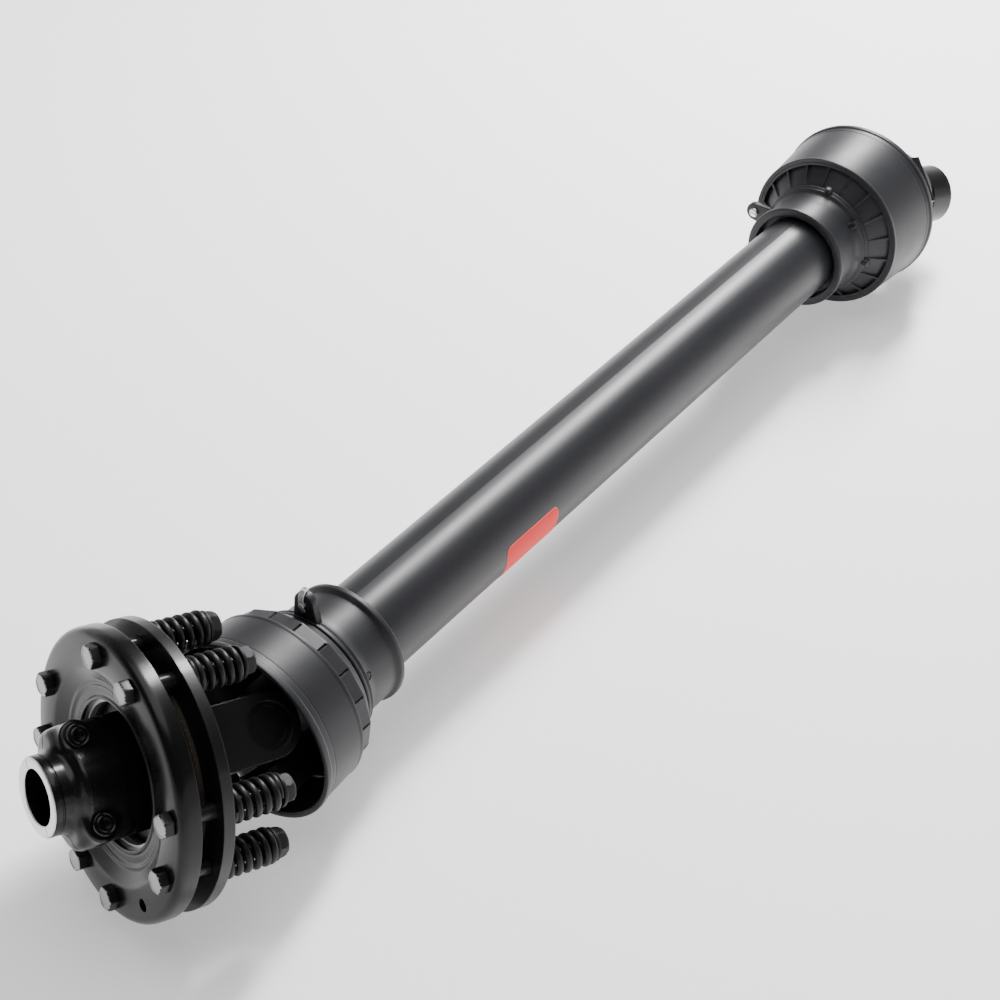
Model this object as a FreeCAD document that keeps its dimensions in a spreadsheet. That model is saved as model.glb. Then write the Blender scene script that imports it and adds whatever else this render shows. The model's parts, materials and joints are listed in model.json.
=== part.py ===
import FreeCAD, Part
import Sketcher
import math
import os

# Telescoping drive shaft with two universal joints, a slip clutch at the implement end, a
# quick-release yoke at the tractor end and a two-piece plastic guard. The origin is the centre
# of the clutch hub's bore mouth, +X runs along the shaft tubes and +Z is up.

Vector = FreeCAD.Vector
Rotation = FreeCAD.Rotation
Placement = FreeCAD.Placement

doc = FreeCAD.newDocument("universal_joint_shaft")
sheet = doc.addObject("Spreadsheet::Sheet", "Sizes")

driving_sizes = {
    # rest pose of the two joints, in degrees
    "pin_phase": 44.43, "cross_tilt": -4.73, "yoke_bend": -21.7,
    # distances along the shaft, from the near cross
    "shaft_length": 828, "hub_face": 136.7,
    # bearing crosses and cups
    "trunnion_radius": 11, "cross_reach": 36.9, "cup_radius": 15.1, "cup_end": 39.7,
    "cup_depth": 18, "cup_floor": 2.5, "spider_radius": 18, "shoulder_radius": 13.5,
    "shoulder_reach": 19.5, "seal_radius": 14.6, "seal_thick": 1.7, "seal_start": 19.6,
    "snap_thick": 2, "snap_radius": 16.4, "snap_bore": 12.5,
    "nipple_radius": 3, "nipple_length": 9, "nipple_ball": 3.4,
    # yoke ears, alike on all four yokes
    "ear_inside": 24, "ear_outside": 45, "ear_radius": 21,
    # inner yokes
    "crotch": 44, "base_radius": 44, "base_back": 54, "neck_start": 64, "neck_radius": 32,
    "groove_start": 72, "groove_end": 80, "groove_radius": 29, "neck_end": 88,
    "tube_seat": 60, "roll_pin_at": 67, "roll_pin_radius": 5, "roll_pin_bore": 3,
    "roll_pin_length": 60,
    # three-lobed drive tubes
    "lobe_offset": 14, "outer_lobe": 13, "outer_lobe_bore": 9.5, "inner_lobe": 9.2,
    "inner_lobe_bore": 5.7, "outer_tube_end": 690, "inner_tube_start": 200,
    # slip clutch
    "clutch_radius": 92, "cover_face": 92, "cover_wall": 4, "skirt_end": 77.8,
    "cover_flat": 67, "cover_dish": 57, "dish_depth": 6, "cover_hole": 46.5,
    "cover_round": 7, "plate_radius": 91.45, "plate_front": 63.6, "plate_back": 56.1,
    "bolt_circle": 79, "bolt_radius": 5, "bolt_clearance": 0.4, "bolt_head": 6.2,
    "bolt_corner": 8.1, "bolt_tip": 10, "index_hole": 4.2,
    "spring_radius": 9.5, "spring_wire": 2.35, "spring_turns": 5, "spring_end": 21,
    "nut_corner": 9.7, "nut_end": 11.5, "nut_nose": 6.8,
    "lining_thick": 3.2, "lining_radius": 70, "lining_bore": 44.5, "drive_gap": 0.3,
    "drive_radius": 68, "drive_back": 67.1, "drive_front": 74.5,
    "ring_thick": 4, "ring_radius": 66,
    "pilot_radius": 24, "pilot_end": 50.5, "bush_radius": 27, "running_gap": 0.05,
    "boss_radius": 38, "boss_end": 47,
    # clutch hub and its clamp
    "bore_radius": 17.46, "sleeve_radius": 24.9, "hub_neck": 30, "hub_neck_end": 118,
    "split_start": 95, "split_gap": 0.6, "lug_reach": 39, "lug_half": 15, "lug_back": 76,
    "lug_front": 123, "clamp_at": 110, "clamp_offset": 27, "clamp_radius": 5,
    "clamp_boss": 10, "clamp_boss_high": 4, "clamp_head": 7.4, "clamp_head_high": 4.6,
    "clamp_socket": 3, "clamp_socket_deep": 2.4, "seat_relief": 0.6,
    # tractor yoke
    "barrel_radius": 21.5, "barrel_end": 101, "spline_minor": 14.9, "spline_major": 17.5,
    "spline_width": 8.69, "collar_radius": 25.6, "lock_start": 74, "lock_end": 99.5,
    "lock_travel": 6, "lock_recess": 24, "recess_start": 77, "recess_end": 91,
    "spring_folds": 4, "spring_skin": 0.5, "ball_radius": 3.4, "ball_at": 94, "ball_depth": 18.05,
    # guard
    "guard_radius": 34, "guard_bore": 31.5, "guard_start": 89, "guard_lip": 113,
    "slip_radius": 31, "slip_bore": 28.5, "slip_end": 528, "guard_end": 108,
    "seat_radius": 38, "seat_end": 84, "clamp_ring": 48.5, "clamp_ring_start": 70,
    "clamp_ring_end": 76, "shoulder_rise": 4, "shell_radius": 42.5, "lip_start": 108, "lip_radius": 45,
    "ring_play": 0.3, "grip_end": 103,
    "step_at": 44, "step_end": 58, "step_wall": 2.6, "web_wall": 2.5, "web_end": 54,
    "rib_thick": 1.6, "slit_width": 1.4, "rib_count": 18, "cone_wall": 2.6,
    "near_band_radius": 59.6, "near_cone_back": 46, "near_back_radius": 62.8,
    "near_rim_radius": 64.8, "near_rim_at": 7,
    "far_band_radius": 64, "far_cone_back": 58, "far_back_radius": 67,
    "far_rim_radius": 71.5, "far_rim_at": -5, "rim_bead": 1.2, "rim_wide": 4,
    "tab_reach": 60, "tab_radius": 8, "tab_start": 71, "tab_thick": 6, "knob_radius": 3.4,
    "knob_reach": 52, "port_radius": 3, "port_at": 80,
    "screw_radius": 1.9, "screw_head": 4, "screw_head_high": 2.6, "screw_length": 9,
    "label_start": 243.5, "label_length": 63.5, "label_thick": 0.3, "label_angle": 80,
    "label_turn": 208,
}

for row, (alias, number) in enumerate(driving_sizes.items(), start=1):
    sheet.set("A%d" % row, alias)
    sheet.set("B%d" % row, str(number))
    sheet.setAlias("B%d" % row, alias)
doc.recompute()


class Size:
    # a length that knows its value and the sheet expression behind it
    def __init__(self, value, text):
        self.value = value
        self.text = text

    def __add__(self, other):
        other = as_size(other)
        return Size(self.value + other.value, "(%s + %s)" % (self.text, other.text))

    def __sub__(self, other):
        other = as_size(other)
        return Size(self.value - other.value, "(%s - %s)" % (self.text, other.text))

    def __mul__(self, factor):
        return Size(self.value * factor, "(%s * %r)" % (self.text, factor))

    def __neg__(self):
        return self * -1


def as_size(number):
    return number if isinstance(number, Size) else Size(float(number), repr(float(number)))


def dim(alias):
    return Size(float(sheet.get(alias)), "Sizes." + alias)


turn_to_axis = {
    "x": Rotation(Vector(0, 1, 0), 90),
    "y": Rotation(Vector(1, 0, 0), -90),
    "z": Rotation(),
}


def bind(feature, **sizes):
    for name, size in sizes.items():
        setattr(feature, name, as_size(size).value)
        feature.setExpression(name, as_size(size).text)
    return feature


def locate(feature, at, rotation=Rotation()):
    feature.Placement = Placement(Vector(*[as_size(part).value for part in at]), rotation)
    for letter, part in zip("xyz", at):
        if isinstance(part, Size):
            feature.setExpression(".Placement.Base." + letter, part.text)
    return feature


def cylinder(name, radius, height, at=(0, 0, 0), axis="z"):
    feature = doc.addObject("Part::Cylinder", name)
    return locate(bind(feature, Radius=radius, Height=height), at, turn_to_axis[axis])


def box(name, long, wide, high, at):
    feature = doc.addObject("Part::Box", name)
    return locate(bind(feature, Length=long, Width=wide, Height=high), at)


def sphere(name, radius, at=(0, 0, 0)):
    return locate(bind(doc.addObject("Part::Sphere", name), Radius=radius), at)


def hexagon(name, corner, height, at=(0, 0, 0), axis="z"):
    feature = bind(doc.addObject("Part::Prism", name), Circumradius=corner, Height=height)
    feature.Polygon = 6
    return locate(feature, at, turn_to_axis[axis])


def fuse(name, *pieces):
    feature = doc.addObject("Part::MultiFuse", name)
    feature.Shapes = list(pieces)
    return feature


def common(name, base, tool):
    feature = doc.addObject("Part::Common", name)
    feature.Base = base
    feature.Tool = tool
    return feature


def cut(name, base, *tools):
    feature = doc.addObject("Part::Cut", name)
    feature.Base = base
    feature.Tool = tools[0] if len(tools) == 1 else fuse(name + "_tools", *tools)
    return feature


def origin_plane(body, role):
    return next(item for item in body.Origin.OriginFeatures if item.Role == role)


def turned(name, outline, angle=360):
    # a profile of (radius, height) points turned about the Z axis
    body = doc.addObject("PartDesign::Body", name)
    sketch = body.newObject("Sketcher::SketchObject", name + "_profile")
    sketch.AttachmentSupport = (origin_plane(body, "XZ_Plane"), [""])
    sketch.MapMode = "FlatFace"
    points = [(as_size(radius), as_size(height)) for radius, height in outline]
    corners = [Vector(radius.value, height.value, 0) for radius, height in points]
    count = len(points)
    for index in range(count):
        following = corners[(index + 1) % count]
        sketch.addGeometry(Part.LineSegment(corners[index], following), False)
    tie_corners(sketch, points)
    turn = body.newObject("PartDesign::Revolution", name + "_turn")
    turn.Profile = sketch
    turn.ReferenceAxis = (sketch, ["V_Axis"])
    bind(turn, Angle=angle)
    return body


def tie_corners(sketch, points):
    # joins the lines end to end and ties each corner to its two sizes
    count = len(points)
    for index in range(count):
        sketch.addConstraint(Sketcher.Constraint("Coincident", index, 2, (index + 1) % count, 1))
    for index, pair in enumerate(points):
        for kind, size in zip(("DistanceX", "DistanceY"), pair):
            number = sketch.addConstraint(
                Sketcher.Constraint(kind, -1, 1, index, 1, size.value))
            sketch.setExpression("Constraints[%d]" % number, size.text)


def round_edges(body, name, radius, rings):
    # fillets the circular edges of a turned body that have the given (radius, height)
    doc.recompute()
    base = body.Tip
    names = []
    for number, edge in enumerate(base.Shape.Edges, start=1):
        if not isinstance(edge.Curve, Part.Circle):
            continue
        found = (edge.Curve.Radius, edge.Curve.Center.z)
        if any(math.dist(found, (wide.value, high.value)) < 0.01 for wide, high in rings):
            names.append("Edge%d" % number)
    fillet = body.newObject("PartDesign::Fillet", name)
    fillet.Base = (base, names)
    bind(fillet, Radius=radius)
    body.Tip = fillet
    return body


def group(name, pieces, places):
    # one node of separate solids: each piece repeated at each place
    doc.recompute()
    feature = doc.addObject("Part::Feature", name)
    copies = [piece.Shape.transformed(place.toMatrix(), True) for place in places for piece in pieces]
    feature.Shape = Part.makeCompound(copies)
    return feature


def ring_places(radius, angles):
    turns = [Rotation(Vector(0, 0, 1), angle) for angle in angles]
    return [Placement(turn.multVec(Vector(radius, 0, 0)), turn) for turn in turns]


def lobed_outline(lobe, first):
    # rounded triangle: three lobe arcs joined by tangent lines, the first lobe at this angle
    offset = dim("lobe_offset").value
    edges = []
    for step in range(3):
        middle = math.radians(first + 120 * step)
        centre = Vector(math.cos(middle), math.sin(middle), 0) * offset
        ends = [
            centre + Vector(math.cos(middle + side), math.sin(middle + side), 0) * lobe
            for side in (-math.pi / 3, 0, math.pi / 3)]
        edges.append((Part.Arc(*ends).toShape(), ends))
    lines = [
        Part.LineSegment(edges[step][1][2], edges[(step + 1) % 3][1][0]).toShape()
        for step in range(3)]
    return Part.Wire([edge for pair in zip([arc for arc, ends in edges], lines) for edge in pair])


def lobed_bar(lobe, first, start, end):
    face = Part.Face(lobed_outline(dim(lobe).value, first))
    return face.extrude(Vector(0, 0, end.value - start.value)).translated(
        Vector(0, 0, start.value))


def lobed(name, *shapes):
    feature = doc.addObject("Part::Feature", name)
    feature.Shape = shapes[0].cut(shapes[1:]) if len(shapes) > 1 else shapes[0]
    return feature


# ---- the frames of the pieces, each with Z along its own shaft and X along its own pins ----

along = Vector(1, 0, 0)
yoke_turn = Rotation(along, dim("pin_phase").value)
cross_turn = yoke_turn * Rotation(Vector(0, 1, 0), dim("cross_tilt").value)
inner_pin = yoke_turn.multVec(Vector(0, 1, 0))
outer_pin = cross_turn.multVec(Vector(0, 0, 1))
bend = Rotation(Vector(0, 0, 1), dim("yoke_bend").value)
clutch_axis = (cross_turn * bend).multVec(Vector(-1, 0, 0))
near_centre = clutch_axis * -dim("hub_face").value
far_centre = near_centre + along * dim("shaft_length").value


def frame(centre, x_axis, z_axis):
    return Placement(centre, Rotation(x_axis, z_axis.cross(x_axis), z_axis, "ZXY"))


def around(angle):
    return Vector(0, math.cos(math.radians(angle)), math.sin(math.radians(angle)))


cross_axis = inner_pin.cross(outer_pin)
frames = {
    "clutch": frame(near_centre, outer_pin, clutch_axis),
    "near_cross": frame(near_centre, inner_pin, cross_axis),
    "near_yoke": frame(near_centre, inner_pin, along),
    "near_guard": frame(near_centre, around(88), along),
    "label": frame(near_centre, around(dim("label_turn").value - dim("label_angle").value / 2),
                   along),
    "far_guard": frame(far_centre, around(8), -along),
    "far_yoke": frame(far_centre, inner_pin, -along),
    "far_cross": frame(far_centre, inner_pin, -cross_axis),
    "tractor": frame(far_centre, outer_pin, -clutch_axis),
}

nodes = []


def node(label, feature, place):
    feature.Label = label
    feature.Placement = frames[place]
    nodes.append(feature)


# ---- bearing crosses, cups, seals and snap rings ----

def arm_pair(name, radius, reach, axis):
    start = tuple(-reach if letter == axis else 0 for letter in "xyz")
    return cylinder(name, radius, reach * 2, start, axis)


def spider(name):
    arms = [arm_pair(name + "_arm_" + axis, dim("trunnion_radius"), dim("cross_reach"), axis)
            for axis in "xy"]
    shoulders = [arm_pair(name + "_shoulder_" + axis, dim("shoulder_radius"),
                          dim("shoulder_reach"), axis) for axis in "xy"]
    return fuse(name, sphere(name + "_middle", dim("spider_radius")), *arms, *shoulders)


def seals(name):
    seal = turned(name + "_one", [
        (dim("trunnion_radius") + dim("running_gap"), dim("seal_start")),
        (dim("seal_radius"), dim("seal_start")),
        (dim("seal_radius"), dim("seal_start") + dim("seal_thick")),
        (dim("trunnion_radius") + dim("running_gap"), dim("seal_start") + dim("seal_thick"))])
    return group(name, [seal], [Placement(Vector(), Rotation(Vector(0, 0, 1), angle)
                                          * Rotation(Vector(0, 1, 0), 90))
                                for angle in (0, 90, 180, 270)])


def cup_pair(name):
    bore = dim("trunnion_radius") + dim("running_gap")
    cup = turned(name + "_one", [
        (bore, dim("cup_end") - dim("cup_depth")),
        (dim("cup_radius"), dim("cup_end") - dim("cup_depth")),
        (dim("cup_radius"), dim("cup_end")),
        (0, dim("cup_end")),
        (0, dim("cup_end") - dim("cup_floor")),
        (bore, dim("cup_end") - dim("cup_floor"))])
    return group(name, [cup], both_ears)


def snap_pair(name):
    back = dim("cup_end") + dim("snap_thick")
    ring = turned(name + "_one", [
        (dim("snap_bore"), dim("cup_end")), (dim("snap_radius"), dim("cup_end")),
        (dim("snap_radius"), back), (dim("snap_bore"), back)])
    gap = box(name + "_gap", dim("snap_radius") * 2, dim("nipple_radius") * 2, dim("cup_end"),
              (0, -dim("nipple_radius"), dim("cup_end") - dim("ring_thick")))
    return group(name, [cut(name + "_split", ring, gap)], both_ears)


def nipple(name):
    top = dim("spider_radius") + dim("nipple_length")
    stem = hexagon(name + "_hex", dim("nipple_radius") * 1.35, dim("nipple_length") * 0.5,
                   (0, 0, dim("spider_radius") - 0.6))
    neck = cylinder(name + "_neck", dim("nipple_radius") * 0.7, dim("nipple_length"),
                    (0, 0, dim("spider_radius") - 0.6))
    tip = sphere(name + "_tip", dim("nipple_ball") * 0.8, (0, 0, top))
    return cut(name, fuse(name + "_whole", stem, neck, tip),
               sphere(name + "_seat", dim("spider_radius")))


both_ears = [Placement(Vector(), Rotation(Vector(0, 1, 0), angle)) for angle in (90, -90)]

for end in ("near", "far"):
    node(end + "_cross", spider(end + "_spider"), end + "_cross")
    node(end + "_cross_seals", seals(end + "_seals"), end + "_cross")
    node(end + "_grease_nipple", nipple(end + "_nipple"), end + "_cross")


# ---- yokes: two ears bored for the cups, on a base that differs ----

def ears(name, root):
    pieces = []
    thick = dim("ear_outside") - dim("ear_inside")
    for side, start in (("a", dim("ear_inside")), ("b", -dim("ear_outside"))):
        pieces.append(cylinder(name + "_eye_" + side, dim("ear_radius"), thick,
                               (start, 0, 0), "x"))
        pieces.append(box(name + "_ear_" + side, thick, dim("ear_radius") * 2, root,
                          (start, -dim("ear_radius"), 0)))
    return pieces


def pin_bores(name):
    seat = cylinder(name + "_seat", dim("cup_radius"), dim("clutch_radius") * 2,
                    (-dim("clutch_radius"), 0, 0), "x")
    slots = [cylinder(name + "_slot_" + side, dim("snap_radius"), dim("snap_thick"),
                      (start, 0, 0), "x")
             for side, start in (("a", dim("cup_end")),
                                 ("b", -dim("cup_end") - dim("snap_thick")))]
    return [seat] + slots


def inner_yoke(name, lobe, first):
    base = turned(name + "_base", [
        (0, dim("crotch")), (dim("base_radius") - 4, dim("crotch")),
        (dim("base_radius"), dim("crotch") + 3), (dim("base_radius"), dim("base_back")),
        (dim("neck_radius"), dim("neck_start")), (dim("neck_radius"), dim("groove_start")),
        (dim("groove_radius"), dim("groove_start")), (dim("groove_radius"), dim("groove_end")),
        (dim("neck_radius"), dim("groove_end")), (dim("neck_radius"), dim("neck_end")),
        (0, dim("neck_end"))])
    bar = lobed(name + "_socket", lobed_bar(lobe, first, dim("tube_seat"), dim("neck_end") + 5))
    pin_hole = cylinder(name + "_pin_hole", dim("roll_pin_radius"), dim("neck_radius") * 2.4,
                        (0, -dim("neck_radius") * 1.2, dim("roll_pin_at")), "y")
    whole = fuse(name + "_blank", base, *ears(name, dim("crotch") + 4))
    return cut(name, whole, bar, pin_hole, *pin_bores(name))


def roll_pin(name):
    half = dim("roll_pin_length") * 0.5
    pin = cylinder(name + "_bar", dim("roll_pin_radius"), dim("roll_pin_length"),
                   (0, -half, dim("roll_pin_at")), "y")
    bore = cylinder(name + "_bore", dim("roll_pin_bore"), dim("roll_pin_length"),
                    (0, -half, dim("roll_pin_at")), "y")
    slit = box(name + "_slit", dim("roll_pin_bore") * 0.4, dim("roll_pin_length"),
               dim("roll_pin_radius"), (0, -half, dim("roll_pin_at")))
    return cut(name, pin, bore, slit)


def drive_tube(name, outside, inside, first, end):
    hole = Part.makeCylinder(dim("roll_pin_radius").value, dim("neck_radius").value * 2,
                             Vector(0, -dim("neck_radius").value, dim("roll_pin_at").value),
                             Vector(0, 1, 0))
    start = dim("tube_seat")
    return lobed(name, lobed_bar(outside, first, start, end),
                 lobed_bar(inside, first, start, end), hole)


# the far yoke is turned end for end, so its first lobe points the other way
for end, lobe, first in (("near", "outer_lobe", 90), ("far", "inner_lobe", -90)):
    node(end + "_inner_yoke", inner_yoke(end + "_yoke", lobe, first), end + "_yoke")
    node(end + "_roll_pin", roll_pin(end + "_pin"), end + "_yoke")
    node(end + "_inner_cups", cup_pair(end + "_inner_cup"), end + "_yoke")
    node(end + "_inner_snap_rings", snap_pair(end + "_inner_snap"), end + "_yoke")

node("outer_drive_tube", drive_tube("outer_tube", "outer_lobe", "outer_lobe_bore", 90,
                                    dim("outer_tube_end")), "near_yoke")
node("inner_drive_tube", drive_tube("inner_tube", "inner_lobe", "inner_lobe_bore", -90,
                                    dim("shaft_length") - dim("inner_tube_start")), "far_yoke")


# ---- slip clutch ----

bolt_angles = (30, 60, 120, 150, 210, 240, 300, 330)
bolt_places = ring_places(dim("bolt_circle").value, bolt_angles)


def bolt_holes(name, start, depth):
    hole = cylinder(name + "_hole", dim("bolt_radius") + dim("bolt_clearance"), depth, (0, 0, start))
    return group(name + "_holes", [hole], bolt_places)


def clutch_cover():
    face = dim("cover_face")
    back = face - dim("cover_wall")
    outside = dim("clutch_radius")
    inside = outside - dim("cover_wall")
    dish = face - dim("dish_depth")
    shell = turned("cover_shell", [
        (dim("cover_hole"), dish), (dim("cover_dish"), dish), (dim("cover_flat"), face),
        (outside, face), (outside, dim("skirt_end")), (inside, dim("skirt_end")),
        (inside, back), (dim("cover_flat") + 1.6, back),
        (dim("cover_dish") + 1.6, dish - dim("cover_wall")),
        (dim("cover_hole"), dish - dim("cover_wall"))])
    round_edges(shell, "cover_corner", dim("cover_round"), [(outside, face)])
    round_edges(shell, "cover_bend", dim("cover_round") - dim("cover_wall"), [(inside, back)])
    index = cylinder("index_hole", dim("index_hole"), dim("cover_wall") * 4,
                     (0, -dim("bolt_circle"), back - dim("cover_wall")))
    return cut("cover", shell, index,
               bolt_holes("cover", back - dim("cover_wall"), dim("cover_wall") * 4))


def flange_yoke():
    plate = turned("flange_plate", [
        (0, dim("boss_end")), (dim("boss_radius") - 3, dim("boss_end")),
        (dim("boss_radius"), dim("plate_back")), (dim("plate_radius"), dim("plate_back")),
        (dim("plate_radius"), dim("plate_front")), (0, dim("plate_front"))])
    blank = fuse("flange_blank", plate, *ears("flange", dim("plate_back") + 2))
    bush_seat = cylinder("bush_seat", dim("bush_radius"), dim("plate_back"),
                         (0, 0, dim("boss_end") - 2))
    return cut("flange", blank, bush_seat, bolt_holes("flange", dim("boss_end"),
               dim("plate_front")), *pin_bores("flange"))


def plain_ring(name, inside, outside, start, end):
    return turned(name, [(inside, start), (outside, start), (outside, end), (inside, end)])


def hex_blank(name, corner, start, end, chamfer, nose=None):
    # a hexagon whose corners are turned off at its lower and, if it has one, narrower end
    nose = nose or corner - chamfer
    turn = turned(name + "_turn", [
        (0, start), (nose, start), (corner + 0.5, start + chamfer), (corner + 0.5, end), (0, end)])
    return common(name, hexagon(name + "_hex", corner, end - start, (0, 0, start)), turn)


def clutch_bolt():
    face = dim("cover_face")
    head = turned("bolt_head_turn", [
        (0, face), (dim("bolt_corner") + 0.5, face),
        (dim("bolt_corner") + 0.5, face + dim("bolt_head") - 1.2),
        (dim("bolt_corner") - 1.6, face + dim("bolt_head")), (0, face + dim("bolt_head"))])
    hexed = common("bolt_head", hexagon("bolt_hex", dim("bolt_corner"), dim("bolt_head"),
                                        (0, 0, face)), head)
    shank = cylinder("bolt_shank", dim("bolt_radius"), face - dim("bolt_tip"),
                     (0, 0, dim("bolt_tip")))
    return fuse("clutch_bolt_one", hexed, shank)


def coil_spring(name, radius, wire, turns, start, end):
    # round wire wound about Z between two flat seats
    low = start.value + wire.value
    rise = end.value - wire.value - low
    path = Part.makeHelix(rise / turns, rise, radius.value)
    circle = Part.Wire(Part.makeCircle(wire.value, Vector(radius.value, 0, 0), Vector(0, 1, 0)))
    feature = doc.addObject("Part::Feature", name)
    coil = Part.Wire(path.Edges).makePipeShell([circle], True, True)
    lift = Placement(Vector(0, 0, low), Rotation())
    feature.Shape = coil.transformed(lift.toMatrix(), True)
    return feature


def clutch_nut():
    hexed = hex_blank("clutch_nut_body", dim("nut_corner"), dim("nut_end"), dim("spring_end"),
                      dim("nut_corner") - dim("nut_nose"), dim("nut_nose"))
    return cut("clutch_nut_one", hexed, cylinder("nut_thread", dim("bolt_radius"),
               dim("spring_end"), (0, 0, 0)))


def hub_lugs():
    reach = dim("lug_reach")
    half = dim("lug_half")
    deep = dim("lug_front") - dim("lug_back")
    block = box("lug_block", half * 2, (reach - half) * 2, deep,
                (-half, half - reach, dim("lug_back")))
    ends = [cylinder("lug_end_" + side, half, deep, (0, place, dim("lug_back")))
            for side, place in (("a", reach - half), ("b", half - reach))]
    bosses = [cylinder("lug_boss_" + side, dim("clamp_boss"), dim("clamp_boss_high") + half,
                       (0, place, dim("clamp_at")), "x")
              for side, place in (("a", dim("clamp_offset")), ("b", -dim("clamp_offset")))]
    return [block] + ends + bosses


def hub_casting(name, cap_side):
    # the hub and its clamp cap are halves of one casting, parted across the bore
    bore = dim("bore_radius")
    body = turned(name + "_body", [
        (0, dim("pilot_end")), (dim("pilot_radius"), dim("pilot_end")),
        (dim("pilot_radius"), dim("drive_back")), (dim("drive_radius"), dim("drive_back")),
        (dim("drive_radius"), dim("drive_front")), (dim("hub_neck"), dim("drive_front")),
        (dim("hub_neck"), dim("hub_neck_end")), (dim("sleeve_radius"), dim("lug_front")),
        (dim("sleeve_radius"), dim("hub_face")), (0, dim("hub_face"))])
    blank = fuse(name + "_blank", body, *hub_lugs())
    holes = [cylinder(name + "_bolt_" + side, dim("clamp_radius") + 0.3, dim("lug_reach") * 2,
                      (-dim("lug_reach"), place, dim("clamp_at")), "x")
             for side, place in (("a", dim("clamp_offset")), ("b", -dim("clamp_offset")))]
    # faces are spotted square where the heads and the nuts sit
    spot = dim("clamp_head") + dim("seat_relief")
    high = dim("lug_reach")
    starts = {"head": dim("lug_half") + dim("clamp_boss_high"), "nut": -dim("lug_half") - high}
    seats = [cylinder(name + "_" + seat + "_seat_" + side, spot, high,
                      (start, place, dim("clamp_at")), "x")
             for seat, start in starts.items()
             for side, place in (("a", dim("clamp_offset")), ("b", -dim("clamp_offset")))]
    bored = cut(name + "_bored", blank, cylinder(name + "_bore", bore, dim("hub_face") * 2),
                *holes, *seats)
    gap = dim("split_gap") * 0.5
    wide = dim("clutch_radius")
    if cap_side:
        return common(name, bored, box(name + "_half", wide, wide * 2, wide,
                                       (gap, -wide, dim("split_start") + gap)))
    return cut(name, bored, box(name + "_half", wide, wide * 2, wide,
                                (-gap, -wide, dim("split_start") - gap)))


clamp_places = [Placement(Vector(0, side * dim("clamp_offset").value, dim("clamp_at").value),
                          turn_to_axis["x"]) for side in (1, -1)]


def clamp_bolts():
    seat = dim("lug_half") + dim("clamp_boss_high")
    head = cylinder("clamp_bolt_head", dim("clamp_head"), dim("clamp_head_high"), (0, 0, seat))
    reach = seat + dim("lug_half") + dim("clamp_head_high") + 3
    shank = cylinder("clamp_shank", dim("clamp_radius"), reach, (0, 0, seat - reach))
    socket = hexagon("clamp_socket", dim("clamp_socket"), dim("clamp_head_high"),
                     (0, 0, seat + dim("clamp_head_high") - dim("clamp_socket_deep")))
    bolt = cut("clamp_bolt_one", fuse("clamp_bolt_blank", head, shank), socket)
    return group("clamp_bolt_set", [bolt], clamp_places)


def clamp_nuts():
    start = -dim("lug_half") - dim("clamp_head_high") - 1
    nut = hexagon("clamp_nut_hex", dim("clamp_head"), dim("clamp_head_high") + 1, (0, 0, start))
    hole = cylinder("clamp_nut_hole", dim("clamp_radius"), dim("lug_reach"), (0, 0, start))
    return group("clamp_nut_set", [cut("clamp_nut_one", nut, hole)], clamp_places)


dish_back = dim("cover_face") - dim("dish_depth") - dim("cover_wall")
lining = dim("lining_thick")
front_start = dim("drive_front") + dim("drive_gap")
node("clutch_cover", clutch_cover(), "clutch")
node("flange_yoke", flange_yoke(), "clutch")
node("front_lining", plain_ring("front_disc", dim("lining_bore"), dim("lining_radius"),
                                front_start, front_start + lining), "clutch")
node("pressure_ring", plain_ring("steel_ring", dim("lining_bore"), dim("ring_radius"),
                                 front_start + lining, dish_back), "clutch")
node("rear_lining", plain_ring("rear_disc", dim("lining_bore"), dim("lining_radius"),
                               dim("plate_front"), dim("plate_front") + lining), "clutch")
node("pilot_bush", plain_ring("bush", dim("pilot_radius") + dim("running_gap"),
                              dim("bush_radius"), dim("boss_end"), dim("plate_front")), "clutch")
node("clutch_bolts", group("clutch_bolt_set", [clutch_bolt()], bolt_places), "clutch")
node("clutch_springs", group("clutch_spring_set", [coil_spring(
    "clutch_spring_one", dim("spring_radius"), dim("spring_wire"), dim("spring_turns").value,
    dim("spring_end"), dim("plate_back"))], bolt_places), "clutch")
node("clutch_nuts", group("clutch_nut_set", [clutch_nut()], bolt_places), "clutch")
node("near_outer_cups", cup_pair("near_outer_cup"), "clutch")
node("near_outer_snap_rings", snap_pair("near_outer_snap"), "clutch")
node("clutch_hub", hub_casting("hub", False), "clutch")
node("hub_clamp_cap", hub_casting("hub_cap", True), "clutch")
node("clamp_bolts", clamp_bolts(), "clutch")
node("clamp_nuts", clamp_nuts(), "clutch")


# ---- tractor yoke with its quick-release collar ----

ball_angles = (30, 150, 270)


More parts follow.
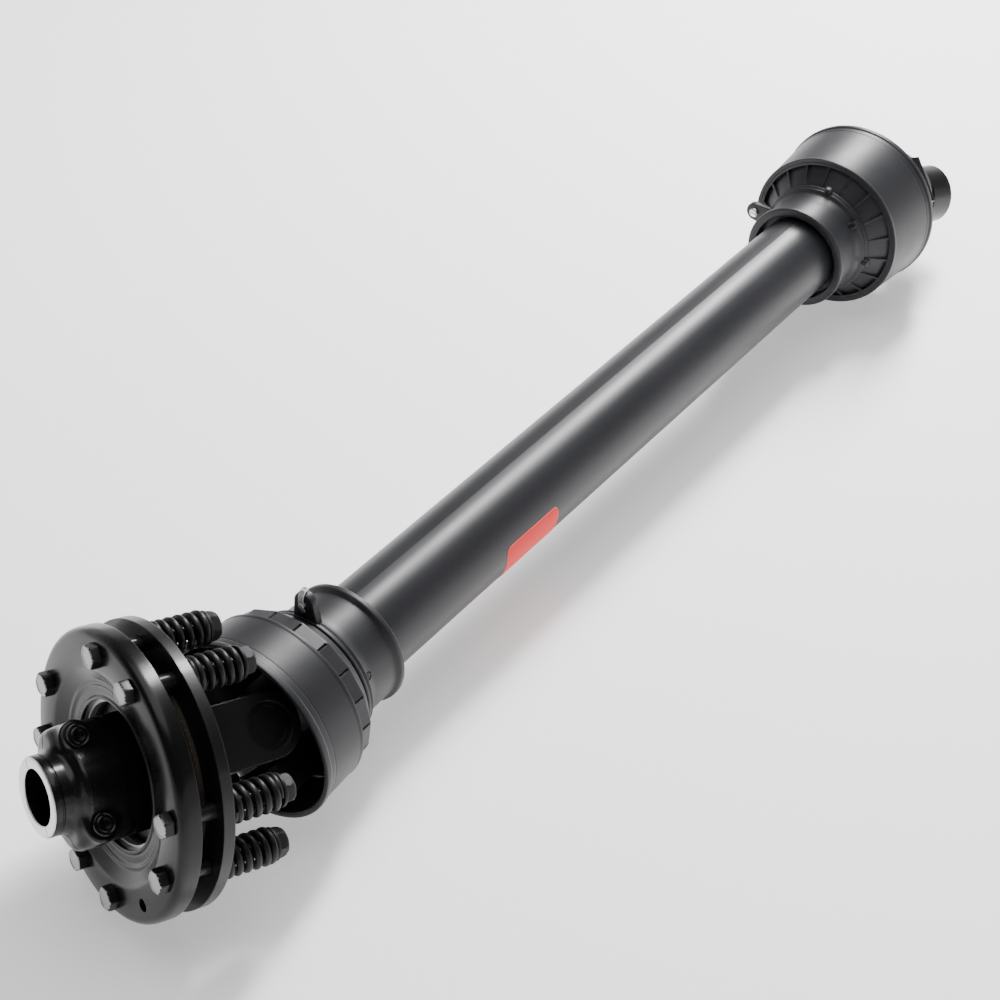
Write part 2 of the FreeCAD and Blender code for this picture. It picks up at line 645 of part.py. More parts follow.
def tractor_yoke():
    base = turned("tractor_base", [
        (0, dim("crotch")), (dim("base_radius") - 4, dim("crotch")),
        (dim("base_radius"), dim("crotch") + 3), (dim("base_radius") - 2, dim("base_back")),
        (dim("barrel_radius") + 3, dim("neck_start")), (dim("barrel_radius") + 3,
                                                       dim("lock_start") - 7),
        (dim("barrel_radius"), dim("lock_start") - 6.5), (dim("barrel_radius"),
                                                         dim("barrel_end")),
        (0, dim("barrel_end"))])
    blank = fuse("tractor_blank", base, *ears("tractor", dim("crotch") + 4))
    bore = cylinder("spline_bore", dim("spline_minor"), dim("barrel_end") * 1.2,
                    (0, 0, dim("crotch") - 2))
    half = dim("spline_width") * 0.5
    inside = dim("spline_minor") - 3
    groove = box("spline_groove", dim("spline_major") - inside, half * 2,
                 dim("barrel_end") * 1.2, (inside, -half, dim("crotch") - 2))
    grooves = group("spline_grooves", [groove], ring_places(0, range(0, 360, 60)))
    ball_hole = cylinder("ball_hole", dim("ball_radius") + dim("running_gap"),
                         dim("barrel_radius"), (inside, 0, dim("ball_at")), "x")
    ball_holes = group("ball_holes", [ball_hole], ring_places(0, ball_angles))
    return cut("tractor", blank, bore, grooves, ball_holes, *pin_bores("tractor"))


def lock_collar():
    inside = dim("barrel_radius") + dim("running_gap")
    return turned("release_collar", [
        (inside, dim("lock_start")), (dim("collar_radius") - 1.5, dim("lock_start")),
        (dim("collar_radius"), dim("lock_start") + 1.5), (dim("collar_radius"),
                                                         dim("lock_end") - 1.5),
        (dim("collar_radius") - 1.5, dim("lock_end")), (inside, dim("lock_end")),
        (inside, dim("recess_end")), (dim("lock_recess"), dim("recess_end")),
        (dim("lock_recess"), dim("recess_start")), (inside, dim("recess_start"))])


def ring_spring(name):
    # a sleeve of thin steel folded into shallow corrugations
    low = dim("recess_start") + 0.35
    high = dim("recess_end") - dim("lock_travel") - 0.55
    root = dim("barrel_radius") + 0.3
    crest = dim("lock_recess") - 0.3 - dim("spring_skin")
    folds = int(dim("spring_folds").value) * 2
    rise = (high - low) * (1 / folds)
    inner = [(crest if index % 2 else root, low + rise * index) for index in range(folds + 1)]
    outer = [(radius + dim("spring_skin"), height) for radius, height in inner]
    return turned(name, inner + outer[::-1])


node("tractor_yoke", tractor_yoke(), "tractor")
node("lock_collar", lock_collar(), "tractor")
node("lock_balls", group("lock_ball_set", [sphere("lock_ball", dim("ball_radius"), (
    dim("ball_depth"), 0, dim("ball_at")))], ring_places(0, ball_angles)), "tractor")
node("lock_spring", ring_spring("release_spring"), "tractor")
node("far_outer_cups", cup_pair("far_outer_cup"), "tractor")
node("far_outer_snap_rings", snap_pair("far_outer_snap"), "tractor")


# ---- guard: bearing ring, collar, ribbed base and cone at each end, tubes between ----

def bearing_ring(name):
    play = dim("ring_play")
    start = dim("groove_start") + play
    end = dim("groove_end") - play
    ring = plain_ring(name + "_whole", dim("groove_radius") + dim("running_gap") * 2,
                      dim("seat_radius"), start, end)
    gap = box(name + "_gap", dim("seat_radius") * 2, dim("slit_width"), end, (0, 0, 0))
    return cut(name, ring, gap)


def guard_collar(name, inner_points, port_angle):
    shell = turned(name + "_shell", [
        (dim("clamp_ring"), dim("clamp_ring_start")), (dim("clamp_ring"), dim("clamp_ring_end")),
        (dim("clamp_ring") - 4, dim("clamp_ring_end") + 1), (dim("shell_radius"), dim("seat_end")),
        (dim("shell_radius") - 1, dim("lip_start") - 1), (dim("lip_radius"), dim("lip_start")),
        (dim("lip_radius"), dim("guard_lip"))] + inner_points)
    tab = cylinder(name + "_tab_end", dim("tab_radius"), dim("tab_thick"),
                   (dim("tab_reach"), 0, dim("tab_start")))
    stalk = box(name + "_tab", dim("tab_reach") - dim("seat_radius") - 3, dim("tab_radius") * 2,
                dim("tab_thick"), (dim("seat_radius") + 3, -dim("tab_radius"), dim("tab_start")))
    knob = cylinder(name + "_knob", dim("knob_radius"), dim("knob_reach") - dim("seat_radius") - 2,
                    (dim("seat_radius") + 2, 0, dim("clamp_ring_end") - 3), "x")
    knobs = group(name + "_knobs", [knob], ring_places(0, (90, 180, 270)))
    blank = fuse(name + "_blank", shell, tab, stalk, knobs)
    screw_hole = cylinder(name + "_screw_hole", dim("screw_radius"), dim("tab_start"),
                          (dim("tab_reach"), 0, dim("tab_start") - 1))
    port = cylinder(name + "_port_one", dim("port_radius"), dim("guard_radius"),
                    (dim("seat_radius") - 2, 0, dim("port_at")), "x")
    return cut(name, blank, screw_hole, group(name + "_port", [port],
               ring_places(0, (port_angle,))))


def ribbed_base(name, band_radius):
    # outer band, sloping web behind it and ribs on the web
    web = dim("web_wall")
    inside = band_radius - dim("step_wall")
    ring = dim("clamp_ring") - 5
    shell = turned(name + "_shell", [
        (band_radius, dim("step_at")), (band_radius, dim("step_end")),
        (inside, dim("step_end")), (inside, dim("web_end")),
        (ring, dim("clamp_ring_start")), (ring - web, dim("clamp_ring_start")),
        (ring - web, dim("clamp_ring_start") - web), (inside, dim("web_end") - web * 2),
        (inside, dim("step_at"))])
    wedge = turned(name + "_wedge", [
        (inside + 0.5, dim("web_end") - web), (inside + 0.5, dim("step_end")),
        (ring, dim("clamp_ring_start")), (ring, dim("clamp_ring_start") - web)])
    count = int(dim("rib_count").value)
    angles = [index * 360 / count for index in range(count)]
    rib = box(name + "_rib", band_radius, dim("rib_thick"), dim("clamp_ring_start"),
              (ring - 5, dim("rib_thick") * -0.5, 0))
    ribs = common(name + "_ribs", wedge, group(name + "_rib_set", [rib], ring_places(0, angles)))
    return fuse(name + "_blank", shell, ribs)


def slitted_base(name, band_radius):
    # outer band with slits, rounding over a shoulder to the clamp ring
    wall = dim("step_wall")
    inside = band_radius - wall
    ring = dim("clamp_ring") - 5
    middle = (inside + ring) * 0.5
    crown = (dim("step_end") + dim("clamp_ring_start")) * 0.5 + dim("shoulder_rise")
    shell = turned(name + "_shell", [
        (band_radius, dim("step_at")), (band_radius, dim("step_end")),
        (inside, dim("step_end")), (middle, crown), (ring, dim("clamp_ring_start")),
        (ring - wall, dim("clamp_ring_start")), (ring - wall, dim("clamp_ring_start") - wall),
        (middle - wall * 0.8, crown - wall * 0.8), (inside, dim("step_end") - wall),
        (inside, dim("step_at"))])
    slit_start = dim("near_cone_back") + 0.5
    slit = box(name + "_slit", wall * 2, dim("slit_width"), dim("step_end") - slit_start - 1.5,
               (inside - 0.5, dim("slit_width") * -0.5, slit_start))
    step = 360 / int(dim("rib_count").value)
    slits = group(name + "_slits", [slit],
                  ring_places(0, [step * (index + 0.5) for index in range(round(360 / step))]))
    return cut(name, shell, slits)


def cone(name, end, band_radius):
    # a wide skirt whose back end grips the band
    wall = dim("cone_wall")
    back = dim(end + "_cone_back")
    back_radius = dim(end + "_back_radius")
    rim_radius = dim(end + "_rim_radius")
    rim_at = dim(end + "_rim_at")
    bead_radius = rim_radius + dim("rim_bead")
    return turned(name, [
        (bead_radius, rim_at), (bead_radius, rim_at + dim("rim_wide")),
        (rim_radius, rim_at + dim("rim_wide") + 1), (back_radius, back), (band_radius, back),
        (band_radius, dim("step_at")), (back_radius - wall * 1.5, dim("step_at") - wall),
        (rim_radius - wall, rim_at + 1), (rim_radius - wall + 1, rim_at)])


def tab_screw(name):
    head_start = dim("tab_start") + dim("tab_thick")
    place = (dim("tab_reach"), 0)
    head = cylinder(name + "_head", dim("screw_head"), dim("screw_head_high"), place + (head_start,))
    slot = box(name + "_slot", dim("screw_head") * 2, 1, 1.2,
               (dim("tab_reach") - dim("screw_head"), -0.5,
                head_start + dim("screw_head_high") - 1.1))
    shank = cylinder(name + "_shank", dim("screw_radius"), dim("screw_length"),
                     place + (head_start - dim("screw_length"),))
    return cut(name, fuse(name + "_blank", head, shank), slot)


def guard_tube(name, outside, inside, end):
    return plain_ring(name, inside, outside, dim("guard_start"), end)


near_inside = [
    (dim("guard_radius"), dim("guard_lip")), (dim("guard_radius"), dim("seat_end")),
    (dim("seat_radius"), dim("seat_end")), (dim("seat_radius"), dim("clamp_ring_start"))]
far_inside = [
    (dim("seat_radius"), dim("guard_lip")), (dim("seat_radius"), dim("grip_end")),
    (dim("slip_radius"), dim("grip_end")), (dim("slip_radius"), dim("guard_start")),
    (dim("guard_radius"), dim("guard_start")), (dim("guard_radius"), dim("seat_end")),
    (dim("seat_radius"), dim("seat_end")), (dim("seat_radius"), dim("clamp_ring_start"))]

for end, inside, port_angle, base in (("near", near_inside, 72, slitted_base),
                                      ("far", far_inside, 226, ribbed_base)):
    band_radius = dim(end + "_band_radius")
    node(end + "_bearing_ring", bearing_ring(end + "_ring"), end + "_guard")
    node(end + "_guard_collar", guard_collar(end + "_collar", inside, port_angle), end + "_guard")
    node(end + "_cone_base", base(end + "_base", band_radius), end + "_guard")
    node(end + "_guard_cone", cone(end + "_cone", end, band_radius), end + "_guard")
    node(end + "_tab_screw", tab_screw(end + "_screw"), end + "_guard")

node("outer_guard_tube", guard_tube("outer_guard", dim("guard_radius"), dim("guard_bore"),
                                    dim("shaft_length") - dim("guard_end")), "near_guard")
node("inner_guard_tube", guard_tube("inner_guard", dim("slip_radius"), dim("slip_bore"),
                                    dim("slip_end")), "far_guard")
label_back = dim("label_start") + dim("label_length")
label_top = dim("guard_radius") + dim("label_thick")
node("guard_label", turned("label_patch", [
    (dim("guard_radius"), dim("label_start")), (label_top, dim("label_start")),
    (label_top, label_back), (dim("guard_radius"), label_back)], dim("label_angle")), "label")


# ---- recompute, check and export ----

doc.recompute()
faults = [item.Name for item in doc.Objects if {"Invalid", "Error"} & set(item.State)]
for feature in nodes:
    shape = feature.Shape
    if shape.isNull() or not shape.isValid() or not shape.Solids:
        faults.append(feature.Label)
if faults:
    raise RuntimeError("failed objects: " + ", ".join(faults))

os.makedirs("parts", exist_ok=True)
for feature in nodes:
    feature.Shape.exportStep(os.path.join("parts", feature.Label + ".step"))
    print("%-24s solids %2d volume %.0f" % (
        feature.Label, len(feature.Shape.Solids), feature.Shape.Volume))
print("nodes", len(nodes))
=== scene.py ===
import json
import math
import bmesh
import bpy
import numpy as np
from mathutils import Matrix, Vector


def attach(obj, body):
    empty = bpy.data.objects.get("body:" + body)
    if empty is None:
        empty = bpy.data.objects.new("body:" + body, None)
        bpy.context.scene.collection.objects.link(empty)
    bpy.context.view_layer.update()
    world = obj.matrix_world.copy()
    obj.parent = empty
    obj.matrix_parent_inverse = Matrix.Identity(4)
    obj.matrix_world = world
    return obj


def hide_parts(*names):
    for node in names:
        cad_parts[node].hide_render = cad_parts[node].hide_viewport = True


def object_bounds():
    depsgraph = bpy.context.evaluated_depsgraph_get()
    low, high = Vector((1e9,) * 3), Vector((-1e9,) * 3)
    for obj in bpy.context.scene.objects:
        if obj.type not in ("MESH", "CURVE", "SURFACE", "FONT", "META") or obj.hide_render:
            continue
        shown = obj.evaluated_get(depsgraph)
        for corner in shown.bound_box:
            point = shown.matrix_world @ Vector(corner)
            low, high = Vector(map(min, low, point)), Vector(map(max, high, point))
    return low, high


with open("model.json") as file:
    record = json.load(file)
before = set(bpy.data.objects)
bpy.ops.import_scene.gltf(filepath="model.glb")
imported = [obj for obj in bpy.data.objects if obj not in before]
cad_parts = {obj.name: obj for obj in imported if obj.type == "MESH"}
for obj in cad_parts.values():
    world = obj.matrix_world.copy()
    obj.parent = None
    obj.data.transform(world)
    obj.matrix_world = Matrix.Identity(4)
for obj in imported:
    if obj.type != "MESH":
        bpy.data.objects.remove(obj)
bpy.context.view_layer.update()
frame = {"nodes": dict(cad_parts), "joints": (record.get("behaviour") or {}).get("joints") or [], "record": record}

mm = 0.001
tau = 2 * math.pi

joints = {joint["name"]: joint for joint in frame["joints"]}
nearCentre = np.array(joints["near_pivot"]["pos_m"])
farCentre = np.array(joints["far_pivot"]["pos_m"])
innerPin = np.array(joints["near_pivot"]["axis"])
outerPin = np.array(joints["flange_pivot"]["axis"])
clutchAxis = np.array(joints["clutch_slip"]["axis"])
shaftAxis = np.array(joints["outer_guard_spin"]["axis"])


def unit(vector):
    return np.asarray(vector, float) / np.linalg.norm(vector)


def axesAt(centre, xAxis, zAxis):
    # a 4 by 4 place whose Z runs along a shaft and whose X lies along a pin or a tab
    zAxis = unit(zAxis)
    xAxis = unit(xAxis - zAxis * np.dot(xAxis, zAxis))
    place = np.eye(4)
    place[:3, 0], place[:3, 1], place[:3, 2] = xAxis, np.cross(zAxis, xAxis), zAxis
    place[:3, 3] = centre
    return place


def aroundShaft(degrees):
    return np.array([0, math.cos(math.radians(degrees)), math.sin(math.radians(degrees))])


clutchPlace = axesAt(nearCentre, outerPin, clutchAxis)
nearGuardPlace = axesAt(nearCentre, aroundShaft(88), shaftAxis)
farGuardPlace = axesAt(farCentre, aroundShaft(8), -shaftAxis)

view = dict(
    heading=35.29,    # degrees from +X towards +Y
    down=37.5,        # degrees below level
    crossRight=-0.1633, crossBelow=0.1493, crossAhead=1.2815,   # the near cross as seen, metres
    lens=73.8, sensor=36,
)


def makeCamera():
    turn, dip = math.radians(view["heading"]), math.radians(view["down"])
    ahead = np.array([math.cos(turn) * math.cos(dip), math.sin(turn) * math.cos(dip), -math.sin(dip)])
    right = unit(np.cross(ahead, [0, 0, 1]))
    up = np.cross(right, ahead)
    spot = (nearCentre - right * view["crossRight"] + up * view["crossBelow"]
            - ahead * view["crossAhead"])
    data = bpy.data.cameras.new("mainCamera")
    data.lens, data.sensor_width = view["lens"], view["sensor"]
    data.clip_start, data.clip_end = 0.01, 50
    camera = bpy.data.objects.new("mainCamera", data)
    matrix = Matrix.Identity(4)
    for row in range(3):
        matrix[row][0], matrix[row][1] = right[row], up[row]
        matrix[row][2], matrix[row][3] = -ahead[row], spot[row]
    camera.matrix_world = matrix
    bpy.context.scene.collection.objects.link(camera)
    bpy.context.scene.camera = camera


makeCamera()
print("camera ready")

lights = dict(
    # name: (where from the middle of the shaft, what it faces, width, length, watts), metres
    tubeStrip=((1.45, 0.35, 1.55), (0.15, 0, 0), 0.34, 1.7, 120),
    overhead=((-0.1, -0.1, 2.4), (0, 0, 0), 2.2, 2.2, 34),
    backPanel=((-0.2, 2.4, 0.9), (0, 0, 0), 2.6, 1.2, 4),
    lowCard=((-0.44, 0.17, -0.085), (-0.44, 0.17, 1), 0.20, 0.16, 1.5),
)
worldStrength = 0.08


def makeLights():
    middle = (nearCentre + farCentre) / 2
    for name, (where, faces, width, length, watts) in lights.items():
        data = bpy.data.lights.new(name, "AREA")
        data.shape, data.size, data.size_y, data.energy = "RECTANGLE", width, length, watts
        lamp = bpy.data.objects.new(name, data)
        lamp.visible_camera = False
        spot = middle + np.array(where)
        facing = Vector(middle + np.array(faces) - spot)
        turn = facing.to_track_quat("-Z", "Y").to_matrix().to_4x4()
        lamp.matrix_world = Matrix.Translation(Vector(spot)) @ turn
        bpy.context.scene.collection.objects.link(lamp)
    world = bpy.data.worlds.new("studio")
    bpy.context.scene.world = world
    world.use_nodes = True
    world.node_tree.nodes["Background"].inputs["Color"].default_value = (1, 1, 1, 1)
    world.node_tree.nodes["Background"].inputs["Strength"].default_value = worldStrength


makeLights()


class Wire:
    # wraps a socket; arithmetic on it, either way round, adds Math nodes
    def __init__(self, paint, socket):
        self.paint, self.socket = paint, socket

    def math(self, operation, *others):
        return self.paint.node("ShaderNodeMath", dict(operation=operation),
                               {0: self, **{1 + i: o for i, o in enumerate(others)}})

    def __add__(self, other): return self.math("ADD", other)
    def __radd__(self, other): return self.math("ADD", other)
    def __mul__(self, other): return self.math("MULTIPLY", other)
    def __rmul__(self, other): return self.math("MULTIPLY", other)
    def __sub__(self, other): return self.math("SUBTRACT", other)
    def __rsub__(self, other): return self.paint.node(
        "ShaderNodeMath", dict(operation="SUBTRACT"), {0: other, 1: self})

    def above(self, edge, soft):
        # 0 below edge, 1 above edge + soft
        return self.paint.node("ShaderNodeMapRange", {}, {"Value": self, "From Min": edge,
                                                          "From Max": edge + soft})


class Paint:
    # one material: a Principled shader with its fixed values, and helpers that add nodes
    def __init__(self, name, **fixed):
        self.material = bpy.data.materials.new(name)
        self.material.use_nodes = True
        self.tree = self.material.node_tree
        self.shader = self.tree.nodes["Principled BSDF"]
        for socket, value in fixed.items():
            self.shader.inputs[socket.replace("_", " ")].default_value = value

    def node(self, kind, settings, sockets, output=0):
        made = self.tree.nodes.new(kind)
        for name, value in settings.items():
            setattr(made, name, value)
        for name, value in sockets.items():
            if isinstance(value, Wire):
                self.tree.links.new(value.socket, made.inputs[name])
            else:
                made.inputs[name].default_value = value
        return Wire(self, made.outputs[output])

    def feed(self, **links):
        for socket, wire in links.items():
            self.tree.links.new(wire.socket, self.shader.inputs[socket.replace("_", " ")])
        return self.material

    def place(self, scale=(1, 1, 1)):
        where = self.node("ShaderNodeTexCoord", {}, {}, "Object")
        return self.node("ShaderNodeMapping", {}, {"Vector": where, "Scale": scale})

    def noise(self, scale, detail=3, rough=0.55, where=None):
        return self.node("ShaderNodeTexNoise", {}, {
            "Vector": where or self.place(), "Scale": scale, "Detail": detail, "Roughness": rough})

    def mix(self, factor, first, second):
        mixed = self.tree.nodes.new("ShaderNodeMix")
        mixed.data_type = "RGBA"
        for socket, value in ((mixed.inputs[0], factor), (mixed.inputs[6], first),
                              (mixed.inputs[7], second)):
            if isinstance(value, Wire):
                self.tree.links.new(value.socket, socket)
            else:
                socket.default_value = value
        return Wire(self, mixed.outputs[2])

    def bump(self, height, distance, strength=1.0, normal=None):
        sockets = {"Height": height, "Distance": distance, "Strength": strength}
        if normal:
            sockets["Normal"] = normal
        return self.node("ShaderNodeBump", {}, sockets)

    def rounded(self, radius):
        return self.node("ShaderNodeBevel", dict(samples=4), {"Radius": radius})


def grey(value, tint=1.0):
    return (value, value, value * tint, 1)


def paintedSteel(name, tone, rough, peel, radius, coat=0.5):
    # enamel over steel: orange peel, dust specks, thin paint on the edges
    paint = Paint(name, Specular_IOR_Level=0.28, Coat_Weight=coat, Coat_Roughness=0.12)
    dust = paint.noise(1100, 2).above(0.70, 0.1)
    cloud = paint.noise(38, 4)
    colour = paint.mix(dust * 0.10, grey(tone, 1.06), grey(0.09, 1.05))
    wear = paint.noise(160, 5, 0.65).above(0.68, 0.05)
    colour = paint.mix(wear * 0.05, colour, grey(0.15))
    height = paint.noise(420, 2) * 0.5 + paint.noise(90, 2) * 0.5
    normal = paint.bump(height, peel, 0.35, paint.rounded(radius))
    return paint.feed(Base_Color=colour, Roughness=cloud * 0.16 + (rough - 0.08) + dust * 0.15,
                      Normal=normal)


def mouldedPlastic(name, tone, rough, axisScale):
    # satin polyethylene: fine grain, faint handling marks and drawn lines along one axis
    paint = Paint(name, Specular_IOR_Level=0.35)
    drawn = paint.noise(60, 3, 0.6, paint.place(axisScale))
    grain = paint.noise(1400, 2)
    cloud = paint.noise(14, 3)
    scuff = paint.noise(45, 5, 0.7, paint.place((1, 6, 6))).above(0.63, 0.08)
    colour = paint.mix(cloud, grey(tone * 0.92, 1.18), grey(tone * 1.1, 1.16))
    colour = paint.mix(scuff * 0.12, colour, grey(tone * 2.4, 1.08))
    height = grain * 0.35 + drawn * 0.65
    return paint.feed(Base_Color=colour, Roughness=drawn * 0.10 + cloud * 0.08 + (rough - 0.08),
                      Normal=paint.bump(height, 0.00006, 0.5, paint.rounded(0.0006)))


def bareSteel(name, tone, rough, scale, radius=0.0004):
    # turned or plated steel: fine streaks and a mottled plate
    paint = Paint(name, Metallic=1.0)
    mottle = paint.noise(scale, 4, 0.6)
    spots = paint.node("ShaderNodeTexVoronoi", {}, {"Vector": paint.place(), "Scale": scale * 2.2})
    colour = paint.mix(mottle, grey(tone * 0.78), grey(tone * 1.12))
    return paint.feed(Base_Color=colour, Roughness=mottle * 0.2 + spots * 0.15 + (rough - 0.12),
                      Normal=paint.bump(mottle + spots * 0.5, 0.00008, 0.4, paint.rounded(radius)))


def labelFilm(name):
    # blank red film with a lighter edge, from the "edge" attribute of the patch
    paint = Paint(name, Specular_IOR_Level=0.05)
    edge = paint.node("ShaderNodeAttribute", dict(attribute_name="edge"), {}, "Fac")
    cloud = paint.noise(120, 3)
    colour = paint.mix(cloud * 0.25, (0.90, 0.060, 0.056, 1), (0.82, 0.070, 0.062, 1))
    colour = paint.mix(edge * 0.55, colour, (0.95, 0.20, 0.17, 1))
    return paint.feed(Base_Color=colour, Roughness=cloud * 0.1 + 0.35,
                      Normal=paint.bump(paint.noise(500, 2), 0.00002, 0.4))


def frictionFace(name):
    # pressed lining with wire flecks
    paint = Paint(name)
    fleck = paint.noise(700, 4, 0.7).above(0.6, 0.08)
    colour = paint.mix(fleck * 0.5, (0.035, 0.028, 0.022, 1), (0.24, 0.18, 0.12, 1))
    return paint.feed(Base_Color=colour, Roughness=0.9 - fleck * 0.3,
                      Normal=paint.bump(paint.noise(500, 4), 0.00015, 0.6))


finishes = {
    "glossBlack": paintedSteel("glossBlackEnamel", 0.004, 0.24, 0.00002, 0.0006, 0.0),
    "castBlack": paintedSteel("castBlackEnamel", 0.004, 0.26, 0.00010, 0.0008, 0.15),
    "yokeBlack": paintedSteel("forgedBlackEnamel", 0.006, 0.34, 0.00010, 0.0012, 0.2),
    "boltBlack": paintedSteel("boltBlackZinc", 0.012, 0.34, 0.00012, 0.0004, 0.1),
    "boltFace": bareSteel("boltFaceSteel", 0.42, 0.42, 700, 0.0002),
    "springBlack": paintedSteel("springBlack", 0.005, 0.42, 0.00003, 0.0004, 0.0),
    "nutBlack": paintedSteel("nutBlackOxide", 0.006, 0.55, 0.00003, 0.0006, 0.0),
    "zinc": bareSteel("zincPlate", 0.82, 0.34, 260),
    "bearing": bareSteel("bearingSteel", 0.55, 0.28, 300),
    "tubeSteel": bareSteel("tubeSteel", 0.42, 0.38, 180),
    "machined": bareSteel("machinedFace", 0.80, 0.36, 420),
    "guard": mouldedPlastic("guardPlastic", 0.018, 0.42, (1, 1, 1)),
    "tube": mouldedPlastic("guardTubePlastic", 0.019, 0.36, (0.02, 3, 3)),
    "nylon": mouldedPlastic("bearingNylon", 0.5, 0.5, (1, 1, 1)),
    "rubber": mouldedPlastic("sealRubber", 0.02, 0.7, (1, 1, 1)),
    "label": labelFilm("redLabelFilm"),
    "lining": frictionFace("frictionLining"),
}
bronzePaint = Paint("sinteredBronze", Metallic=1.0)
bronzeMottle = bronzePaint.noise(300, 4)
finishes["bronze"] = bronzePaint.feed(
    Base_Color=bronzePaint.mix(bronzeMottle, (0.45, 0.28, 0.12, 1), (0.7, 0.48, 0.24, 1)),
    Roughness=bronzeMottle * 0.3 + 0.25)

slotFinish = {
    "gloss_black": "glossBlack", "yoke_black": "yokeBlack", "zinc_steel": "zinc",
    "spring_black": "springBlack", "nut_black": "nutBlack", "bearing_steel": "bearing",
    "tube_steel": "tubeSteel", "friction_lining": "lining", "bronze": "bronze",
    "guard_plastic": "guard", "bearing_nylon": "nylon", "seal_rubber": "rubber",
    "label_red": "label",
}
for part in frame["record"]["subparts"]:
    mesh = frame["nodes"][part["node"]].data
    finish = finishes[slotFinish[part["material_slot"]]]
    mesh.materials.clear()
    mesh.materials.append(finish)
for tube in ("outer_guard_tube", "inner_guard_tube"):
    frame["nodes"][tube].data.materials[0] = finishes["tube"]
print("materials ready")


def turnAngles(count):
    return np.linspace(0, tau, count, endpoint=False)


def roundedOutline(corners, steps=4):
    # each corner (radius, height, round) becomes an arc that leaves both its sides at the same
    # distance: points P + (toStart*(1-t)^2 + toEnd*t^2), a parabola between the two tangents
    corners = [tuple(corner) + (0,) * (3 - len(corner)) for corner in corners]
    points = []
    for index, (radius, height, fillet) in enumerate(corners):
        here = np.array([radius, height])
        before = np.array(corners[index - 1][:2]) - here
        after = np.array(corners[(index + 1) % len(corners)][:2]) - here
        if fillet == 0:
            points.append(here[None])
            continue
        reach = [min(fillet, np.linalg.norm(side) * 0.49) for side in (before, after)]
        t = np.linspace(0, 1, steps + 1)[:, None]
        points.append(here + unit(before) * reach[0] * (1 - t) ** 2 + unit(after) * reach[1] * t ** 2)
    return np.concatenate(points)


def latheGrid(outline, angles):
    # x = r cos(angle), y = r sin(angle), z = height; outline may be (rows, 2) or (columns, rows, 2)
    outline = np.broadcast_to(outline, (len(angles),) + outline.shape[-2:])
    radius, height = outline[..., 0], outline[..., 1]
    return np.stack([radius * np.cos(angles)[:, None], radius * np.sin(angles)[:, None], height], -1)


def quadFaces(rows, columns, wrapRows, wrapColumns):
    row = np.arange(rows if wrapRows else rows - 1)
    column = np.arange(columns if wrapColumns else columns - 1)
    low, left = [part.ravel() for part in np.meshgrid(row, column, indexing="ij")]
    high, right = (low + 1) % rows, (left + 1) % columns
    return np.stack([low * columns + left, high * columns + left,
                     high * columns + right, low * columns + right], 1)


class Surface:
    # gathers grids, in millimetres in a local place, and makes one closed mesh of them
    def __init__(self, place):
        self.place, self.points, self.faces, self.count = place, [], [], 0

    def add(self, grid, wrapRows=True, wrapColumns=True, caps=False):
        rows, columns = grid.shape[:2]
        faces = quadFaces(rows, columns, wrapRows, wrapColumns)
        points = grid.reshape(-1, 3)
        if caps:
            # both ends of the columns are closed with a fan to their centre
            ends = [grid[:, 0], grid[:, -1]]
            for number, end in enumerate(ends):
                centre = len(points)
                points = np.vstack([points, end.mean(0)])
                rim = np.arange(rows) * columns + (0 if number == 0 else columns - 1)
                after = np.roll(rim, -1)
                faces = np.vstack([faces, np.stack([rim, after, np.full(rows, centre),
                                                    np.full(rows, centre)], 1)])
        self.points.append(points)
        self.faces.append(faces + self.count)
        self.count += len(points)
        return self

    def copies(self, places):
        # the whole surface again at each 4 by 4 place
        points, faces = np.vstack(self.points), np.vstack(self.faces)
        many = np.einsum("kij,nj->kni", np.array(places)[:, :3, :3], points)
        many = many + np.array(places)[:, None, :3, 3]
        shifts = (np.arange(len(places)) * len(points))[:, None, None]
        self.points, self.faces = [many.reshape(-1, 3)], [(faces[None] + shifts).reshape(-1, 4)]
        self.count = len(points) * len(places)
        return self

    def finish(self, name, body, slot, finish, nodes, smoothAngle=35, carving=None):
        points = np.vstack(self.points) * mm
        points = points @ self.place[:3, :3].T + self.place[:3, 3]
        faces = np.vstack(self.faces)
        mesh = bpy.data.meshes.new(name)
        mesh.from_pydata(points.tolist(), [], [list(dict.fromkeys(face)) for face in faces.tolist()])
        shape = bmesh.new()
        shape.from_mesh(mesh)
        bmesh.ops.remove_doubles(shape, verts=shape.verts, dist=2e-6)
        bmesh.ops.dissolve_degenerate(shape, edges=shape.edges, dist=1e-7)
        bmesh.ops.recalc_face_normals(shape, faces=shape.faces)
        shape.to_mesh(mesh)
        shape.free()
        mesh.shade_smooth()
        mesh.set_sharp_from_angle(angle=math.radians(smoothAngle))
        piece = bpy.data.objects.new(name, mesh)
        bpy.context.scene.collection.objects.link(piece)
        if carving is not None:
            carve(piece, carving)
        piece.data.materials.clear()
        piece.data.materials.append(finishes[finish])
        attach(piece, body)
        if nodes:
            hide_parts(*nodes)
        print("made", name, len(piece.data.polygons), "faces")
        return piece


